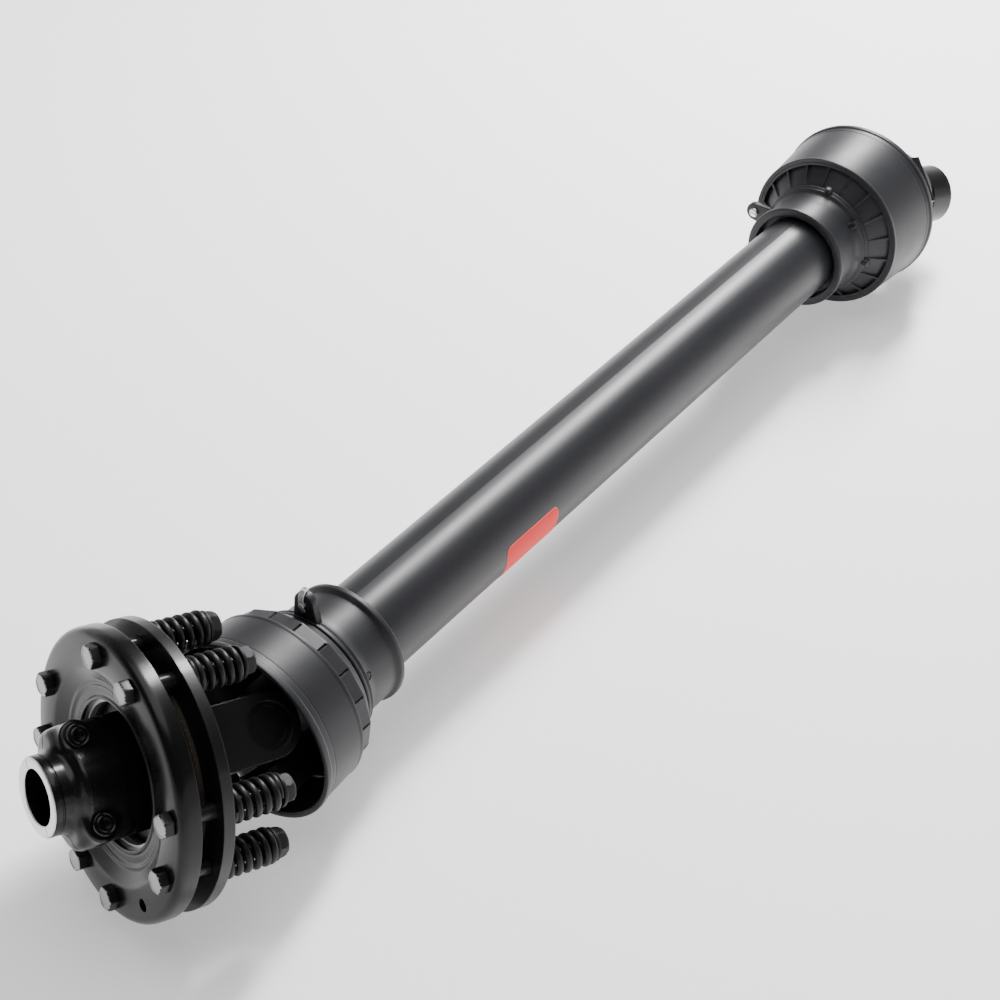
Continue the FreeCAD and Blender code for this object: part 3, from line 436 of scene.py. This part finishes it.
def carve(piece, cutterSurface):
    # takes the cutter's space away from the piece, in the piece's own mesh
    mesh = bpy.data.meshes.new("cutter")
    points = np.vstack(cutterSurface.points) * mm
    points = points @ cutterSurface.place[:3, :3].T + cutterSurface.place[:3, 3]
    faces = [list(dict.fromkeys(face)) for face in np.vstack(cutterSurface.faces).tolist()]
    mesh.from_pydata(points.tolist(), [], faces)
    shape = bmesh.new()
    shape.from_mesh(mesh)
    bmesh.ops.recalc_face_normals(shape, faces=shape.faces)
    shape.to_mesh(mesh)
    shape.free()
    cutter = bpy.data.objects.new("cutter", mesh)
    bpy.context.scene.collection.objects.link(cutter)
    boolean = piece.modifiers.new("carve", "BOOLEAN")
    boolean.operation, boolean.object, boolean.solver = "DIFFERENCE", cutter, "EXACT"
    bpy.context.view_layer.update()
    seen = piece.evaluated_get(bpy.context.evaluated_depsgraph_get())
    carved = bpy.data.meshes.new_from_object(seen)
    piece.modifiers.clear()
    piece.data = carved
    carved.shade_smooth()
    carved.set_sharp_from_angle(angle=math.radians(35))
    bpy.data.objects.remove(cutter)


def refinish(piece, finish, chosen):
    # gives another finish to the faces whose middles, in clutch millimetres, are chosen
    piece.data.materials.append(finishes[finish])
    centres = np.empty(len(piece.data.polygons) * 3)
    piece.data.polygons.foreach_get("center", centres)
    local = (centres.reshape(-1, 3) - clutchPlace[:3, 3]) @ clutchPlace[:3, :3] / mm
    piece.data.polygons.foreach_set("material_index", chosen(*local.T).astype(np.int32))


def turnedAt(degrees, radius=0):
    # a place turned about Z and then moved out along its own X
    turn = math.radians(degrees)
    place = np.eye(4)
    place[:2, :2] = [[math.cos(turn), -math.sin(turn)], [math.sin(turn), math.cos(turn)]]
    place[:2, 3] = radius * math.cos(turn), radius * math.sin(turn)
    return place


def rod(radius, low, high, count=32):
    # a plain closed cylinder along Z
    outline = np.array([[radius, low], [radius, high]])
    return latheGrid(outline, turnAngles(count))


def foldAngle(angles, sides):
    # angle measured from the middle of the nearest of the equal sides
    step = tau / sides
    return (angles + step / 2) % step - step / 2


boltAngles = (30, 60, 120, 150, 210, 240, 300, 330)
boltPlaces = [turnedAt(angle, 79) for angle in boltAngles]

cover = dict(outside=92, face=92, wall=4, skirtEnd=77.8, flat=67, dish=57, deep=6, hole=46.5,
             corner=8, crown=0.9, lip=1.1, indexHole=4.2, columns=288)


def makeCover():
    # pressed plate turned about the clutch axis: skirt, rolled corner, crowned bolt land,
    # dish wall, inner land and a turned-up double lip at the hole
    c = cover
    inside, back, low = c["outside"] - c["wall"], c["face"] - c["wall"], c["face"] - c["deep"]
    land = [(c["flat"] + 1, c["face"] - 0.2, 1.5)]
    land += [(radius, c["face"] + c["crown"] * math.sin(math.pi * (radius - 67) / 21) - 0.2)
             for radius in np.linspace(70, 82, 7)]
    front = [(c["hole"], low - 1.4, 0.8), (c["hole"] + 0.3, low + c["lip"] * 0.4, 0.8),
             (c["hole"] + 2.2, low + c["lip"] * 0.3, 0.7), (c["hole"] + 3, low - 0.4, 0.7),
             (c["hole"] + 4.2, low - 0.1, 0.7), (c["dish"] - 2, low, 1.0),
             (c["dish"], low + 1.2, 0.8), (c["dish"] + 2.2, low + 1.1, 1.0)]
    outline = front + land + [
        (c["outside"], c["face"] - 0.4, c["corner"]), (c["outside"], c["skirtEnd"], 0.7),
        (inside, c["skirtEnd"], 0.7), (inside, back, c["corner"] - c["wall"]),
        (c["flat"] + 1.6, back, 2), (c["dish"] + 1.6, low - c["wall"], 2),
        (c["hole"], low - c["wall"], 0.6)]
    surface = Surface(clutchPlace)
    surface.add(latheGrid(roundedOutline(outline, 7), turnAngles(c["columns"])))
    cutter = Surface(clutchPlace).add(rod(c["indexHole"], c["face"] - 20, c["face"] + 8) + [0, -79, 0],
                                      wrapColumns=False, caps=True)
    surface.finish("coverPlate", "clutch_pack", "gloss_black", "glossBlack", ["clutch_cover"],
                   40, cutter)


bolt = dict(corner=8.1, head=6.2, faceDish=0.35, shank=5, tip=10, land=92.6)


def makeBolts():
    # head radius = flat distance / cos(angle folded into one of six sides); the top chamfer is
    # the smaller of that and a cone; a shallow dished top; a plain round shank
    b = bolt
    angles = turnAngles(72)
    flat = b["corner"] * math.cos(math.pi / 6)
    hexed = flat / np.cos(foldAngle(angles, 6))
    top = b["land"] + b["head"]
    rows = np.array([[0, b["land"]], [1.0, b["land"]], [1.0, top - 1.3], [0.985, top - 0.7],
                     [0.93, top - 0.2], [0.88, top], [0.80, top], [0.76, top - b["faceDish"]],
                     [0, top - b["faceDish"]]])
    cone = np.interp(rows[:, 1], [top - 1.6, top], [b["corner"] + 0.1, flat + 0.2])
    radius = np.minimum(hexed[:, None], cone[None]) * rows[None, :, 0]
    outline = np.stack([radius, np.broadcast_to(rows[:, 1], radius.shape)], -1)
    surface = Surface(clutchPlace)
    surface.add(latheGrid(outline, angles), wrapColumns=False)
    surface.add(rod(b["shank"], b["tip"] + 0.6, b["land"] + 0.2), wrapColumns=False, caps=True)
    surface.add(latheGrid(roundedOutline([(0, b["tip"]), (b["shank"] - 0.8, b["tip"], 0.5),
                                          (b["shank"] - 0.3, b["tip"] + 0.8),
                                          (0, b["tip"] + 0.8)]), turnAngles(32)),
                wrapColumns=False)
    surface.copies(boltPlaces)
    piece = surface.finish("clutchBolts", "clutch_pack", "nut_black", "boltBlack", ["clutch_bolts"])
    refinish(piece, "boltFace", lambda x, y, z: z > top - b["faceDish"] - 0.1)


spring = dict(radius=9.5, wire=2.35, low=21, high=56.1, turns=6, seat=0.55)


def makeSprings():
    # wire centre at radius (cos a, sin a) and height eased so that both ends lie flat on their
    # seats; the wire's circle stands across the path, and its ends taper
    s = spring
    steps = 300
    t = np.linspace(0, 1, steps)
    a = t * s["turns"] * tau
    flatEnd = s["seat"] / s["turns"]
    climb = np.clip((t - flatEnd) / (1 - 2 * flatEnd), 0, 1)
    climb = climb * 0.9 + 0.1 * (climb * climb * (3 - 2 * climb))
    taper = 1 - 0.3 * np.clip(1 - np.minimum(t, 1 - t) * s["turns"] / 0.3, 0, 1)
    wire = s["wire"] * taper
    height = s["low"] + s["wire"] + climb * (s["high"] - s["low"] - 2 * s["wire"])
    around = turnAngles(14)
    out = s["radius"] + wire[None] * np.cos(around)[:, None]
    grid = np.stack([out * np.cos(a), out * np.sin(a),
                     height[None] + wire[None] * np.sin(around)[:, None]], -1)
    surface = Surface(clutchPlace).add(grid, wrapColumns=False, caps=True)
    surface.copies([place @ turnedAt(angle) for place, angle in zip(boltPlaces, range(40, 2000, 97))])
    surface.finish("clutchSprings", "clutch_pack", "spring_black", "springBlack",
                   ["clutch_springs"], 60)


nut = dict(corner=9.7, seat=21, end=11.5, washer=10.6, washerThick=2.2)


def makeNuts():
    # a washer under the spring, a six-sided body whose corners are turned to a rounded nose
    n = nut
    angles = turnAngles(72)
    flat = n["corner"] * math.cos(math.pi / 6)
    hexed = flat / np.cos(foldAngle(angles, 6))
    back = n["seat"] - n["washerThick"] - n["end"]
    height = n["end"] + np.array([back, 6.1, 5, 3, 1.5, 0.5, 0.1, 0, 0])
    limit = n["corner"] - np.array([0.5, 0, 0, 0.2, 0.8, 1.7, 2.5, 4.1, 5.1])
    radius = np.minimum(hexed[:, None], limit[None])
    outline = np.stack([radius, np.broadcast_to(height, radius.shape)], -1)
    outline = np.concatenate([outline[:, :1] * [0, 1], outline, outline[:, -1:] * [0, 1]], 1)
    surface = Surface(clutchPlace).add(latheGrid(outline, angles), wrapColumns=False)
    disc = roundedOutline([(5, n["seat"] - n["washerThick"]),
                           (n["washer"], n["seat"] - n["washerThick"], 0.7),
                           (n["washer"], n["seat"], 0.7), (5, n["seat"])])
    surface.add(latheGrid(disc, turnAngles(48)))
    surface.copies(boltPlaces)
    surface.finish("clutchNuts", "clutch_pack", "nut_black", "nutBlack", ["clutch_nuts"])


hub = dict(bore=17.46, sleeve=24.9, neck=30, face=136.7, lugReach=39, lugHalf=15, lugFront=123,
           lugBack=60, shoulder=118, bossAt=27, bossHeight=110, boss=10.5, bossReach=19, blend=7,
           seamDeep=1.6, driveBack=67.1, driveFront=74.5, driveRadius=68)


def softUnion(first, second, width):
    # the smaller distance, blended over a width where both are alike
    share = np.clip(0.5 + 0.5 * (second - first) / width, 0, 1)
    return second * (1 - share) + first * share - width * share * (1 - share)


def hubDistance(x, y, z):
    # distance outside the casting: sleeve, thicker neck, a flat-sided lug block and four round
    # bosses, melted together as a casting's fillets are
    h = hub
    across = np.hypot(x, y)
    sleeve = across - h["sleeve"]
    slab = np.maximum(z - h["shoulder"], h["lugBack"] - z)
    neck = np.hypot(np.maximum(across - h["neck"] + 3, 0), np.maximum(slab + 3, 0)) - 3 + \
        np.minimum(np.maximum(across - h["neck"] + 3, slab + 3), 0)
    reach = h["lugReach"] - h["lugHalf"]
    stadium = np.hypot(np.maximum(np.abs(y) - reach, 0), np.maximum(np.abs(x) - 2, 0))
    stadium = stadium - h["lugHalf"] + 2
    edge = np.maximum(z - h["lugFront"], h["lugBack"] - z)
    rounding = 5
    block = np.hypot(np.maximum(stadium + rounding, 0), np.maximum(edge + rounding, 0)) - rounding + \
        np.minimum(np.maximum(stadium, edge) + rounding, 0)
    disc = np.hypot(np.abs(y) - h["bossAt"], z - h["bossHeight"]) - h["boss"]
    boss = np.hypot(np.maximum(disc + 2, 0), np.maximum(np.abs(x) - h["bossReach"] + 2, 0)) - 2 + \
        np.minimum(np.maximum(disc + 2, np.abs(x) - h["bossReach"] + 2), 0)
    body = softUnion(sleeve, neck, h["blend"])
    body = softUnion(body, block, h["blend"])
    return softUnion(body, boss, 4)


def makeHub():
    # for every angle and height the skin lies where the distance changes sign, found by walking
    # outwards; two narrow grooves run where the cap is parted from the hub
    h = hub
    base = np.linspace(0, tau, 360, endpoint=False)
    quarter = math.pi / 2
    offsets = np.array([-3, -2, -1.2, -0.75, -0.5, 0.5, 0.75, 1.2, 2, 3]) / 60
    near = np.concatenate([quarter + offsets, 3 * quarter + offsets])
    far = np.min(np.abs(base[:, None] - np.array([quarter, 3 * quarter])[None]), 1) > 0.055
    angles = np.sort(np.concatenate([base[far], near]))
    height = np.concatenate([np.linspace(h["driveFront"] - 0.5, 132, 150), [135.0, 136.0, 136.4]])
    reach = np.linspace(22, 46, 121)
    wide, tall, out = np.meshgrid(angles, height, reach, indexing="ij")
    outside = hubDistance(out * np.cos(wide), out * np.sin(wide), tall)
    last = (outside < 0).shape[2] - 1 - np.argmax((outside < 0)[..., ::-1], 2)
    last = np.clip(last, 0, len(reach) - 2)
    here = np.take_along_axis(outside, last[..., None], 2)[..., 0]
    following = np.take_along_axis(outside, last[..., None] + 1, 2)[..., 0]
    step = reach[1] - reach[0]
    skin = reach[last] + step * np.clip(here / (here - following - 1e-9), 0, 1)
    skin = np.where(np.isfinite(skin), skin, h["sleeve"])
    skin[:, height > 131] = h["sleeve"]
    groove = (height > 130.2) & (height < 131.6)
    skin[:, groove] = h["sleeve"] - 0.7
    folded = foldAngle(angles + quarter, 2)
    seam = np.abs(folded) < 0.0095
    seamRows = height > 96
    skin = np.where(seam[:, None] & seamRows[None], skin - h["seamDeep"], skin)
    skin[:, -2] -= 0.35
    skin[:, -1] -= 0.9
    tall = np.broadcast_to(height, skin.shape)
    frontRadius = (23.6, 21, 18.7, h["bore"] + 0.5, h["bore"])
    frontHeight = (h["face"], h["face"], h["face"], h["face"] - 0.2, h["face"] - 0.8)
    front = np.stack([np.full(len(angles), radius) for radius in frontRadius], 1)
    frontTall = np.stack([np.where(seam, h["face"] - h["seamDeep"], value) for value in frontHeight], 1)
    bore = np.stack([np.full(len(angles), h["bore"])] * 2, 1)
    boreTall = np.stack([np.full(len(angles), value) for value in (100.0, 50.5)], 1)
    tail = [(24, 50.5), (24, h["driveBack"]), (h["driveRadius"], h["driveBack"]),
            (h["driveRadius"], h["driveFront"] - 0.5)]
    tailRadius = np.broadcast_to([point[0] for point in tail], (len(angles), 4))
    tailTall = np.broadcast_to([point[1] for point in tail], (len(angles), 4))
    outline = np.stack([np.concatenate([tailRadius, skin, front, bore], 1),
                        np.concatenate([tailTall, tall, frontTall, boreTall], 1)], -1)
    surface = Surface(clutchPlace).add(latheGrid(outline, angles))
    piece = surface.finish("hubCasting", "clutch_hub", "gloss_black", "castBlack",
                           ["clutch_hub", "hub_clamp_cap"], 38)
    refinish(piece, "machined", lambda x, y, z: (z > h["face"] - 0.75) & (np.hypot(x, y) < 24.5))


clampHead = dict(radius=7.4, seat=19, high=4.6, socket=3, deep=2.4, ring=5.2)


def makeClampBolts():
    # round head with a turned ring and a small centre socket, on a plain shank across the hub
    c = clampHead
    top = c["seat"] + c["high"]
    outline = roundedOutline([
        (0, c["seat"] - 38, 0), (5, c["seat"] - 38, 0.5), (5, c["seat"] - 0.5, 0),
        (c["radius"], c["seat"] - 0.5, 0.4),
        (c["radius"], top, 1.4), (c["ring"] + 0.7, top, 0.3), (c["ring"], top - 0.6, 0.3),
        (c["ring"] - 0.7, top, 0.3), (c["socket"], top, 0.4), (c["socket"] - 0.3, top - c["deep"], 0.2),
        (0, top - c["deep"], 0)])
    surface = Surface(clutchPlace).add(latheGrid(outline, turnAngles(64)), wrapColumns=False)
    places = []
    for side in (1, -1):
        place = np.eye(4)
        place[:3, :3] = np.array([[0, 0, 1], [0, 1, 0], [-1, 0, 0]])
        place[:3, 3] = 0, 27 * side, 110
        places.append(place)
    surface.copies(places)
    surface.finish("clampBolts", "clutch_hub", "nut_black", "castBlack", ["clamp_bolts"])

guard = dict(
    stepAt=44, stepEnd=58, wall=2.6, shoulder=4, ring=48.5, ringStart=70, ringEnd=76, count=18,
    ribHalf=0.8, slitHalf=0.7, slitDeep=1.6,
    near=dict(band=59.6, back=46, backRadius=62.8, rim=64.8, rimAt=7, port=72),
    far=dict(band=64, back=58, backRadius=67, rim=71.5, rimAt=-5, port=226),
)


def makeCone(end, place, body):
    # skirt turned about the shaft: beaded rim, straight wall, a fine line by the rim and a
    # rolled back edge that grips the band
    g, e = guard, guard[end]
    wall = g["wall"]
    bead = e["rim"] + 1.2
    slope = (e["backRadius"] - e["rim"]) / (e["back"] - e["rimAt"] - 5)
    outline = roundedOutline([
        (bead, e["rimAt"], 1.0), (bead, e["rimAt"] + 4, 0.8), (e["rim"], e["rimAt"] + 5, 0.6),
        (e["rim"] + slope * 4, e["rimAt"] + 9, 0.3),
        (e["rim"] + slope * 5 - 0.25, e["rimAt"] + 9.7, 0.3),
        (e["rim"] + slope * 6, e["rimAt"] + 10.4, 0.3),
        (e["backRadius"] - slope * 3, e["back"] - 3, 0.4), (e["backRadius"] + 0.5, e["back"] - 2, 0.5),
        (e["backRadius"] + 0.5, e["back"], 0.7), (e["band"], e["back"], 0.3),
        (e["band"], g["stepAt"], 0.3), (e["backRadius"] - wall * 1.5, g["stepAt"] - wall, 1.5),
        (e["rim"] - wall, e["rimAt"] + 1, 0.8), (e["rim"] - wall + 1, e["rimAt"], 0.6)], 5)
    Surface(place).add(latheGrid(outline, turnAngles(240))).finish(
        end + "Cone", body, "guard_plastic", "guard", [end + "_guard_cone"], 50)


def smoothBand(folded, half, soft):
    # 1 within half of the middle, falling to 0 over soft
    return np.clip((half + soft - np.abs(folded)) / soft, 0, 1)


def makeBase(end, place, body):
    # the band, the web behind it and the ribs are one turned outline whose points move with the
    # angle: at a rib the web rises to the band's edge, at a slit the band sinks
    g, e = guard, guard[end]
    step = tau / g["count"]
    edges = np.array([-1.25, -0.95, -0.8, 0, 0.8, 0.95, 1.25]) / 60
    middles = np.arange(g["count"]) * step
    between = np.delete(np.linspace(0.18, 0.82, 9), 4) * step
    angles = (middles[:, None] + np.concatenate([edges, step / 2 + edges, between])).ravel()
    angles = np.unique(np.round(angles % tau, 6))
    ribs = smoothBand(foldAngle(angles, g["count"]) * 58, g["ribHalf"], 0.16)
    slits = smoothBand(foldAngle(angles + step / 2, g["count"]) * 62, g["slitHalf"], 0.16)
    band, inside, ring = e["band"], e["band"] - g["wall"], g["ring"] - 5
    slitStart = guard["near"]["back"] + 0.6

    def outline(webHigh, sunk, bulge=0.0):
        return roundedOutline([
            (band, g["stepAt"]), (band, slitStart), (band - sunk, slitStart),
            (band - sunk, g["stepEnd"] - 1.6), (band, g["stepEnd"] - 1.6), (band, g["stepEnd"], 0.5),
            (inside, g["stepEnd"], 0.5), (inside, webHigh, 0.8),
            ((inside + ring) / 2, (webHigh + g["ringStart"]) / 2 + bulge, 2),
            (ring, g["ringStart"], 0.6), (ring - 2.5, g["ringStart"], 0.4),
            (ring - 2.5, g["ringStart"] - 2.5, 0.4), (inside, 49, 0.4), (inside, g["stepAt"], 0.3)], 4)

    plain, ribbed, slitted = outline(54, 0.0), outline(57.7, 0.0), outline(54, g["slitDeep"])
    shape = plain[None] + ribs[:, None, None] * (ribbed - plain)[None]
    if end == "near":
        # no hollow behind this band: its back runs over a shoulder to the clamp ring
        shape = outline(g["stepEnd"] - 0.4, 0.0, g["shoulder"])[None]
        shape = shape + slits[:, None, None] * (slitted - plain)[None]
        flats = math.cos(math.pi / g["count"]) / np.cos(foldAngle(angles, g["count"]))
        outer = np.clip((shape[..., 0] - inside - 0.5) / 1.2, 0, 1)
        shape[..., 0] = shape[..., 0] * (1 + outer * (flats[:, None] * 1.004 - 1))
    Surface(place).add(latheGrid(shape, angles)).finish(
        end + "ConeBase", body, "guard_plastic", "guard", [end + "_cone_base"], 30)


def standing(grid, height, angle):
    # turns a grid made along Z to point out from the axis at an angle and a height
    out = np.stack([grid[..., 2], grid[..., 1], height - grid[..., 0]], -1)
    return out @ turnedAt(angle)[:3, :3].T


collar = dict(sleeve=42.5, lip=45, lipStart=108, mouth=113, seat=38, bore=34, slip=31,
              tabReach=60, tabHalf=8, tabLow=71, tabHigh=77, tabRound=1.1,
              knob=3.4, knobReach=52, knobAt=73, port=3, portAt=80)


def makeCollar(end, place, body):
    # clamp ring, double ridge, long sleeve and rolled lip turned about the shaft, with a tab
    # that stands on the ring, small round knobs and a moulded port
    g, e, c = guard, guard[end], collar
    outer = [(g["ring"], g["ringStart"], 0.8), (g["ring"], g["ringStart"] + 2.2, 0.8),
             (g["ring"] - 1.4, g["ringStart"] + 3, 0.5), (g["ring"] - 1.2, g["ringStart"] + 4.2, 0.5),
             (g["ring"] - 0.6, g["ringEnd"] - 0.6, 0.8), (g["ring"] - 4, g["ringEnd"] + 1.4, 1.4),
             (c["sleeve"] + 0.4, 82.5, 3), (c["sleeve"] - 0.5, c["lipStart"] - 1.8, 0.8),
             (c["lip"] - 0.4, c["lipStart"] + 0.2, 0.7), (c["lip"], c["lipStart"] + 1, 0.5),
             (c["lip"], c["mouth"] - 0.6, 1.2), (c["sleeve"], c["mouth"], 0.8)]
    back = [(c["bore"], 84, 0), (c["seat"], 84, 0), (c["seat"], g["ringStart"], 0)]
    mouth = dict(near=[(c["bore"], c["mouth"], 0.8)],
                 far=[(c["seat"], c["mouth"], 1.2), (c["seat"], 103, 0.6), (c["slip"], 103, 0.4),
                      (c["slip"], 89, 0), (c["bore"], 89, 0)])[end]
    surface = Surface(place).add(latheGrid(roundedOutline(outer + mouth + back, 5), turnAngles(192)))
    # the tab's outline is a stadium, grown and shrunk through its thickness for soft edges
    angles = turnAngles(64)
    tip = np.cos(angles) > 0
    grow = np.array([-1, -0.3, 0, 0, -0.3, -1]) * c["tabRound"]
    soft = np.array([0, 0.3, 1, 1, 0.3, 0]) * c["tabRound"]
    level = np.array([c["tabLow"]] * 3 + [c["tabHigh"]] * 3) + soft * [1, 1, 1, -1, -1, -1]
    middle = np.where(tip, c["tabReach"], c["tabReach"] - 15)
    half = c["tabHalf"] + grow
    grid = np.stack([middle[:, None] + half[None] * np.cos(angles)[:, None],
                     half[None] * (np.sin(angles) * np.where(tip, 1, 1.25))[:, None],
                     np.broadcast_to(level, (64, 6))], -1)
    surface.add(grid, wrapColumns=False, caps=True)
    knob = latheGrid(roundedOutline([(0, 40), (c["knob"], 40), (c["knob"], c["knobReach"] - 0.8, 0.8),
                                     (2.2, c["knobReach"], 0.6), (0, c["knobReach"])]), turnAngles(24))
    for angle in (90, 180, 270):
        surface.add(standing(knob, c["knobAt"], angle), wrapColumns=False)
    cutter = Surface(place).add(standing(rod(c["port"], 36, 50), c["portAt"], e["port"]),
                                wrapColumns=False, caps=True)
    surface.finish(end + "Collar", body, "guard_plastic", "guard", [end + "_guard_collar"], 40, cutter)
    if end == "near":
        plug = roundedOutline([(0, 38.5), (c["port"] - 0.5, 38.5),
                               (c["port"] - 0.5, c["sleeve"] + 0.6, 0.4), (0, c["sleeve"] + 0.6)])
        surface = Surface(place).add(standing(latheGrid(plug, turnAngles(32)), c["portAt"], e["port"]),
                                     wrapColumns=False)
        surface.finish("nearPlug", body, "guard_plastic", "guard", [], 40)


clip = dict(half=1.9, thick=0.9,
            path=((54, 70.4), (58, 69.2), (63, 69.0), (67.5, 69.8), (70, 72), (70.2, 75.5)))


def makeClip():
    # a strip bent over the near tab: each point of the path, given as (radius, height), carries
    # the four corners of the strip's section, half a thickness to either side along the normal
    path = np.array(clip["path"])
    along = np.gradient(path, axis=0)
    side = np.stack([-along[:, 1], along[:, 0]], 1) / np.linalg.norm(along, axis=1)[:, None]
    inner, outer = path - side * clip["thick"] / 2, path + side * clip["thick"] / 2
    corners = ((inner, -1), (outer, -1), (outer, 1), (inner, 1))
    strip = np.array([[[radius, clip["half"] * hand, height] for radius, height in line]
                      for line, hand in corners])
    surface = Surface(nearGuardPlace).add(strip, wrapColumns=False, caps=True)
    surface.finish("nearTabClip", "outer_guard", "zinc_steel", "zinc", [])


screw = dict(shank=1.9, head=4, high=2.8, slot=1, slotDeep=1.2)


def makeScrew(end, place, body):
    # rounded head with a straight slot, on a shank through the tab
    t, reach, seat = screw, collar["tabReach"], collar["tabHigh"]
    top = seat + t["high"]
    head = latheGrid(roundedOutline([
        (0, seat - 9), (t["shank"], seat - 9), (t["shank"], seat), (t["head"], seat, 0.3),
        (t["head"], top - 0.8, 0.9), (t["head"] * 0.6, top - 0.1, 0.8), (0, top)], 5), turnAngles(48))
    surface = Surface(place).add(head + [reach, 0, 0], wrapColumns=False)
    half, wide = t["slot"] / 2, t["head"] * 1.5
    slot = np.array([[[reach + x, y, z] for z in (top - t["slotDeep"], top + 2)]
                     for x, y in ((-wide, -half), (wide, -half), (wide, half), (-wide, half))])
    cutter = Surface(place).add(slot, wrapColumns=False, caps=True)
    surface.finish(end + "TabScrew", body, "zinc_steel", "zinc", [end + "_tab_screw"], 35, cutter)


label = dict(start=243.5, length=63.5, turn=208, sweep=80, radius=34.35, corner=6, edge=0.9,
             columns=96, rows=48)


def makeLabel():
    # a film laid round the tube: a square (u, v) squeezed to a rounded rectangle, then wrapped,
    # so the angle is the arc length over the radius
    f = label
    wide, tall = f["radius"] * math.radians(f["sweep"]), f["length"]
    u, v = np.meshgrid(np.linspace(-1, 1, f["columns"]), np.linspace(-1, 1, f["rows"]), indexing="ij")
    along = v * tall / 2
    # past the corner's centre the film's half width follows a circle
    over = np.maximum(np.abs(along) - (tall / 2 - f["corner"]), 0)
    half = wide / 2 - f["corner"] + np.sqrt(np.maximum(f["corner"] ** 2 - over ** 2, 0))
    across = u * half
    fromEdge = np.minimum(half - np.abs(across), tall / 2 - np.abs(along))
    angle = math.radians(f["turn"]) + across / f["radius"]
    rim = (np.abs(u) == 1) | (np.abs(v) == 1)
    radius = f["radius"] - 0.3 * rim
    points = np.stack([nearCentre[0] + (f["start"] + tall / 2 + along) * mm,
                       nearCentre[1] + radius * mm * np.cos(angle),
                       nearCentre[2] + radius * mm * np.sin(angle)], -1)
    mesh = bpy.data.meshes.new("redLabel")
    faces = quadFaces(f["columns"], f["rows"], False, False)
    mesh.from_pydata(points.reshape(-1, 3).tolist(), [], faces.tolist())
    edge = mesh.attributes.new("edge", "FLOAT", "POINT")
    edge.data.foreach_set("value", (fromEdge.ravel() < f["edge"]).astype(np.float32))
    outward = aroundShaft(f["turn"])
    if np.dot(np.array(mesh.polygons[len(faces) // 2].normal), outward) < 0:
        mesh.flip_normals()
    mesh.shade_smooth()
    mesh.materials.append(finishes["label"])
    piece = bpy.data.objects.new("redLabel", mesh)
    bpy.context.scene.collection.objects.link(piece)
    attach(piece, "outer_guard")
    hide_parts("guard_label")


makeCover()
makeBolts()
makeSprings()
makeNuts()
makeHub()
makeClampBolts()
print("clutch ready")
guardEnds = (("near", nearGuardPlace, "outer_guard"), ("far", farGuardPlace, "inner_guard"))
for end, place, body in guardEnds:
    makeCone(end, place, body)
    makeBase(end, place, body)
    makeCollar(end, place, body)
    makeScrew(end, place, body)
makeClip()
makeLabel()
print("guards ready")


floor = dict(flat=6, bend=2, wall=0.2, glow=0.5)


def makeFloor():
    # a flat round floor that bends up, along a quarter circle, into a low wall
    f = floor
    turn = np.linspace(0, math.pi / 2, 16)
    radius = np.concatenate([[0, 2, 4], f["flat"] + f["bend"] * np.sin(turn), [f["flat"] + f["bend"]]])
    height = np.concatenate([[0, 0, 0], f["bend"] * (1 - np.cos(turn)), [f["bend"] + f["wall"]]])
    grid = latheGrid(np.stack([radius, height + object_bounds()[0][2]], 1), turnAngles(96))
    mesh = bpy.data.meshes.new("floor")
    mesh.from_pydata(grid.reshape(-1, 3).tolist(), [], quadFaces(96, len(radius), True, False).tolist())
    mesh.shade_smooth()
    ground = bpy.data.objects.new("floor", mesh)
    bpy.context.scene.collection.objects.link(ground)
    paint = Paint("paleFloor", Emission_Color=(1, 1, 1, 1), Emission_Strength=f["glow"])
    cloud = paint.noise(1.5, 2)
    mesh.materials.append(paint.feed(
        Base_Color=paint.mix(cloud, grey(0.96), grey(0.98)), Roughness=cloud * 0.1 + 0.6))


makeFloor()
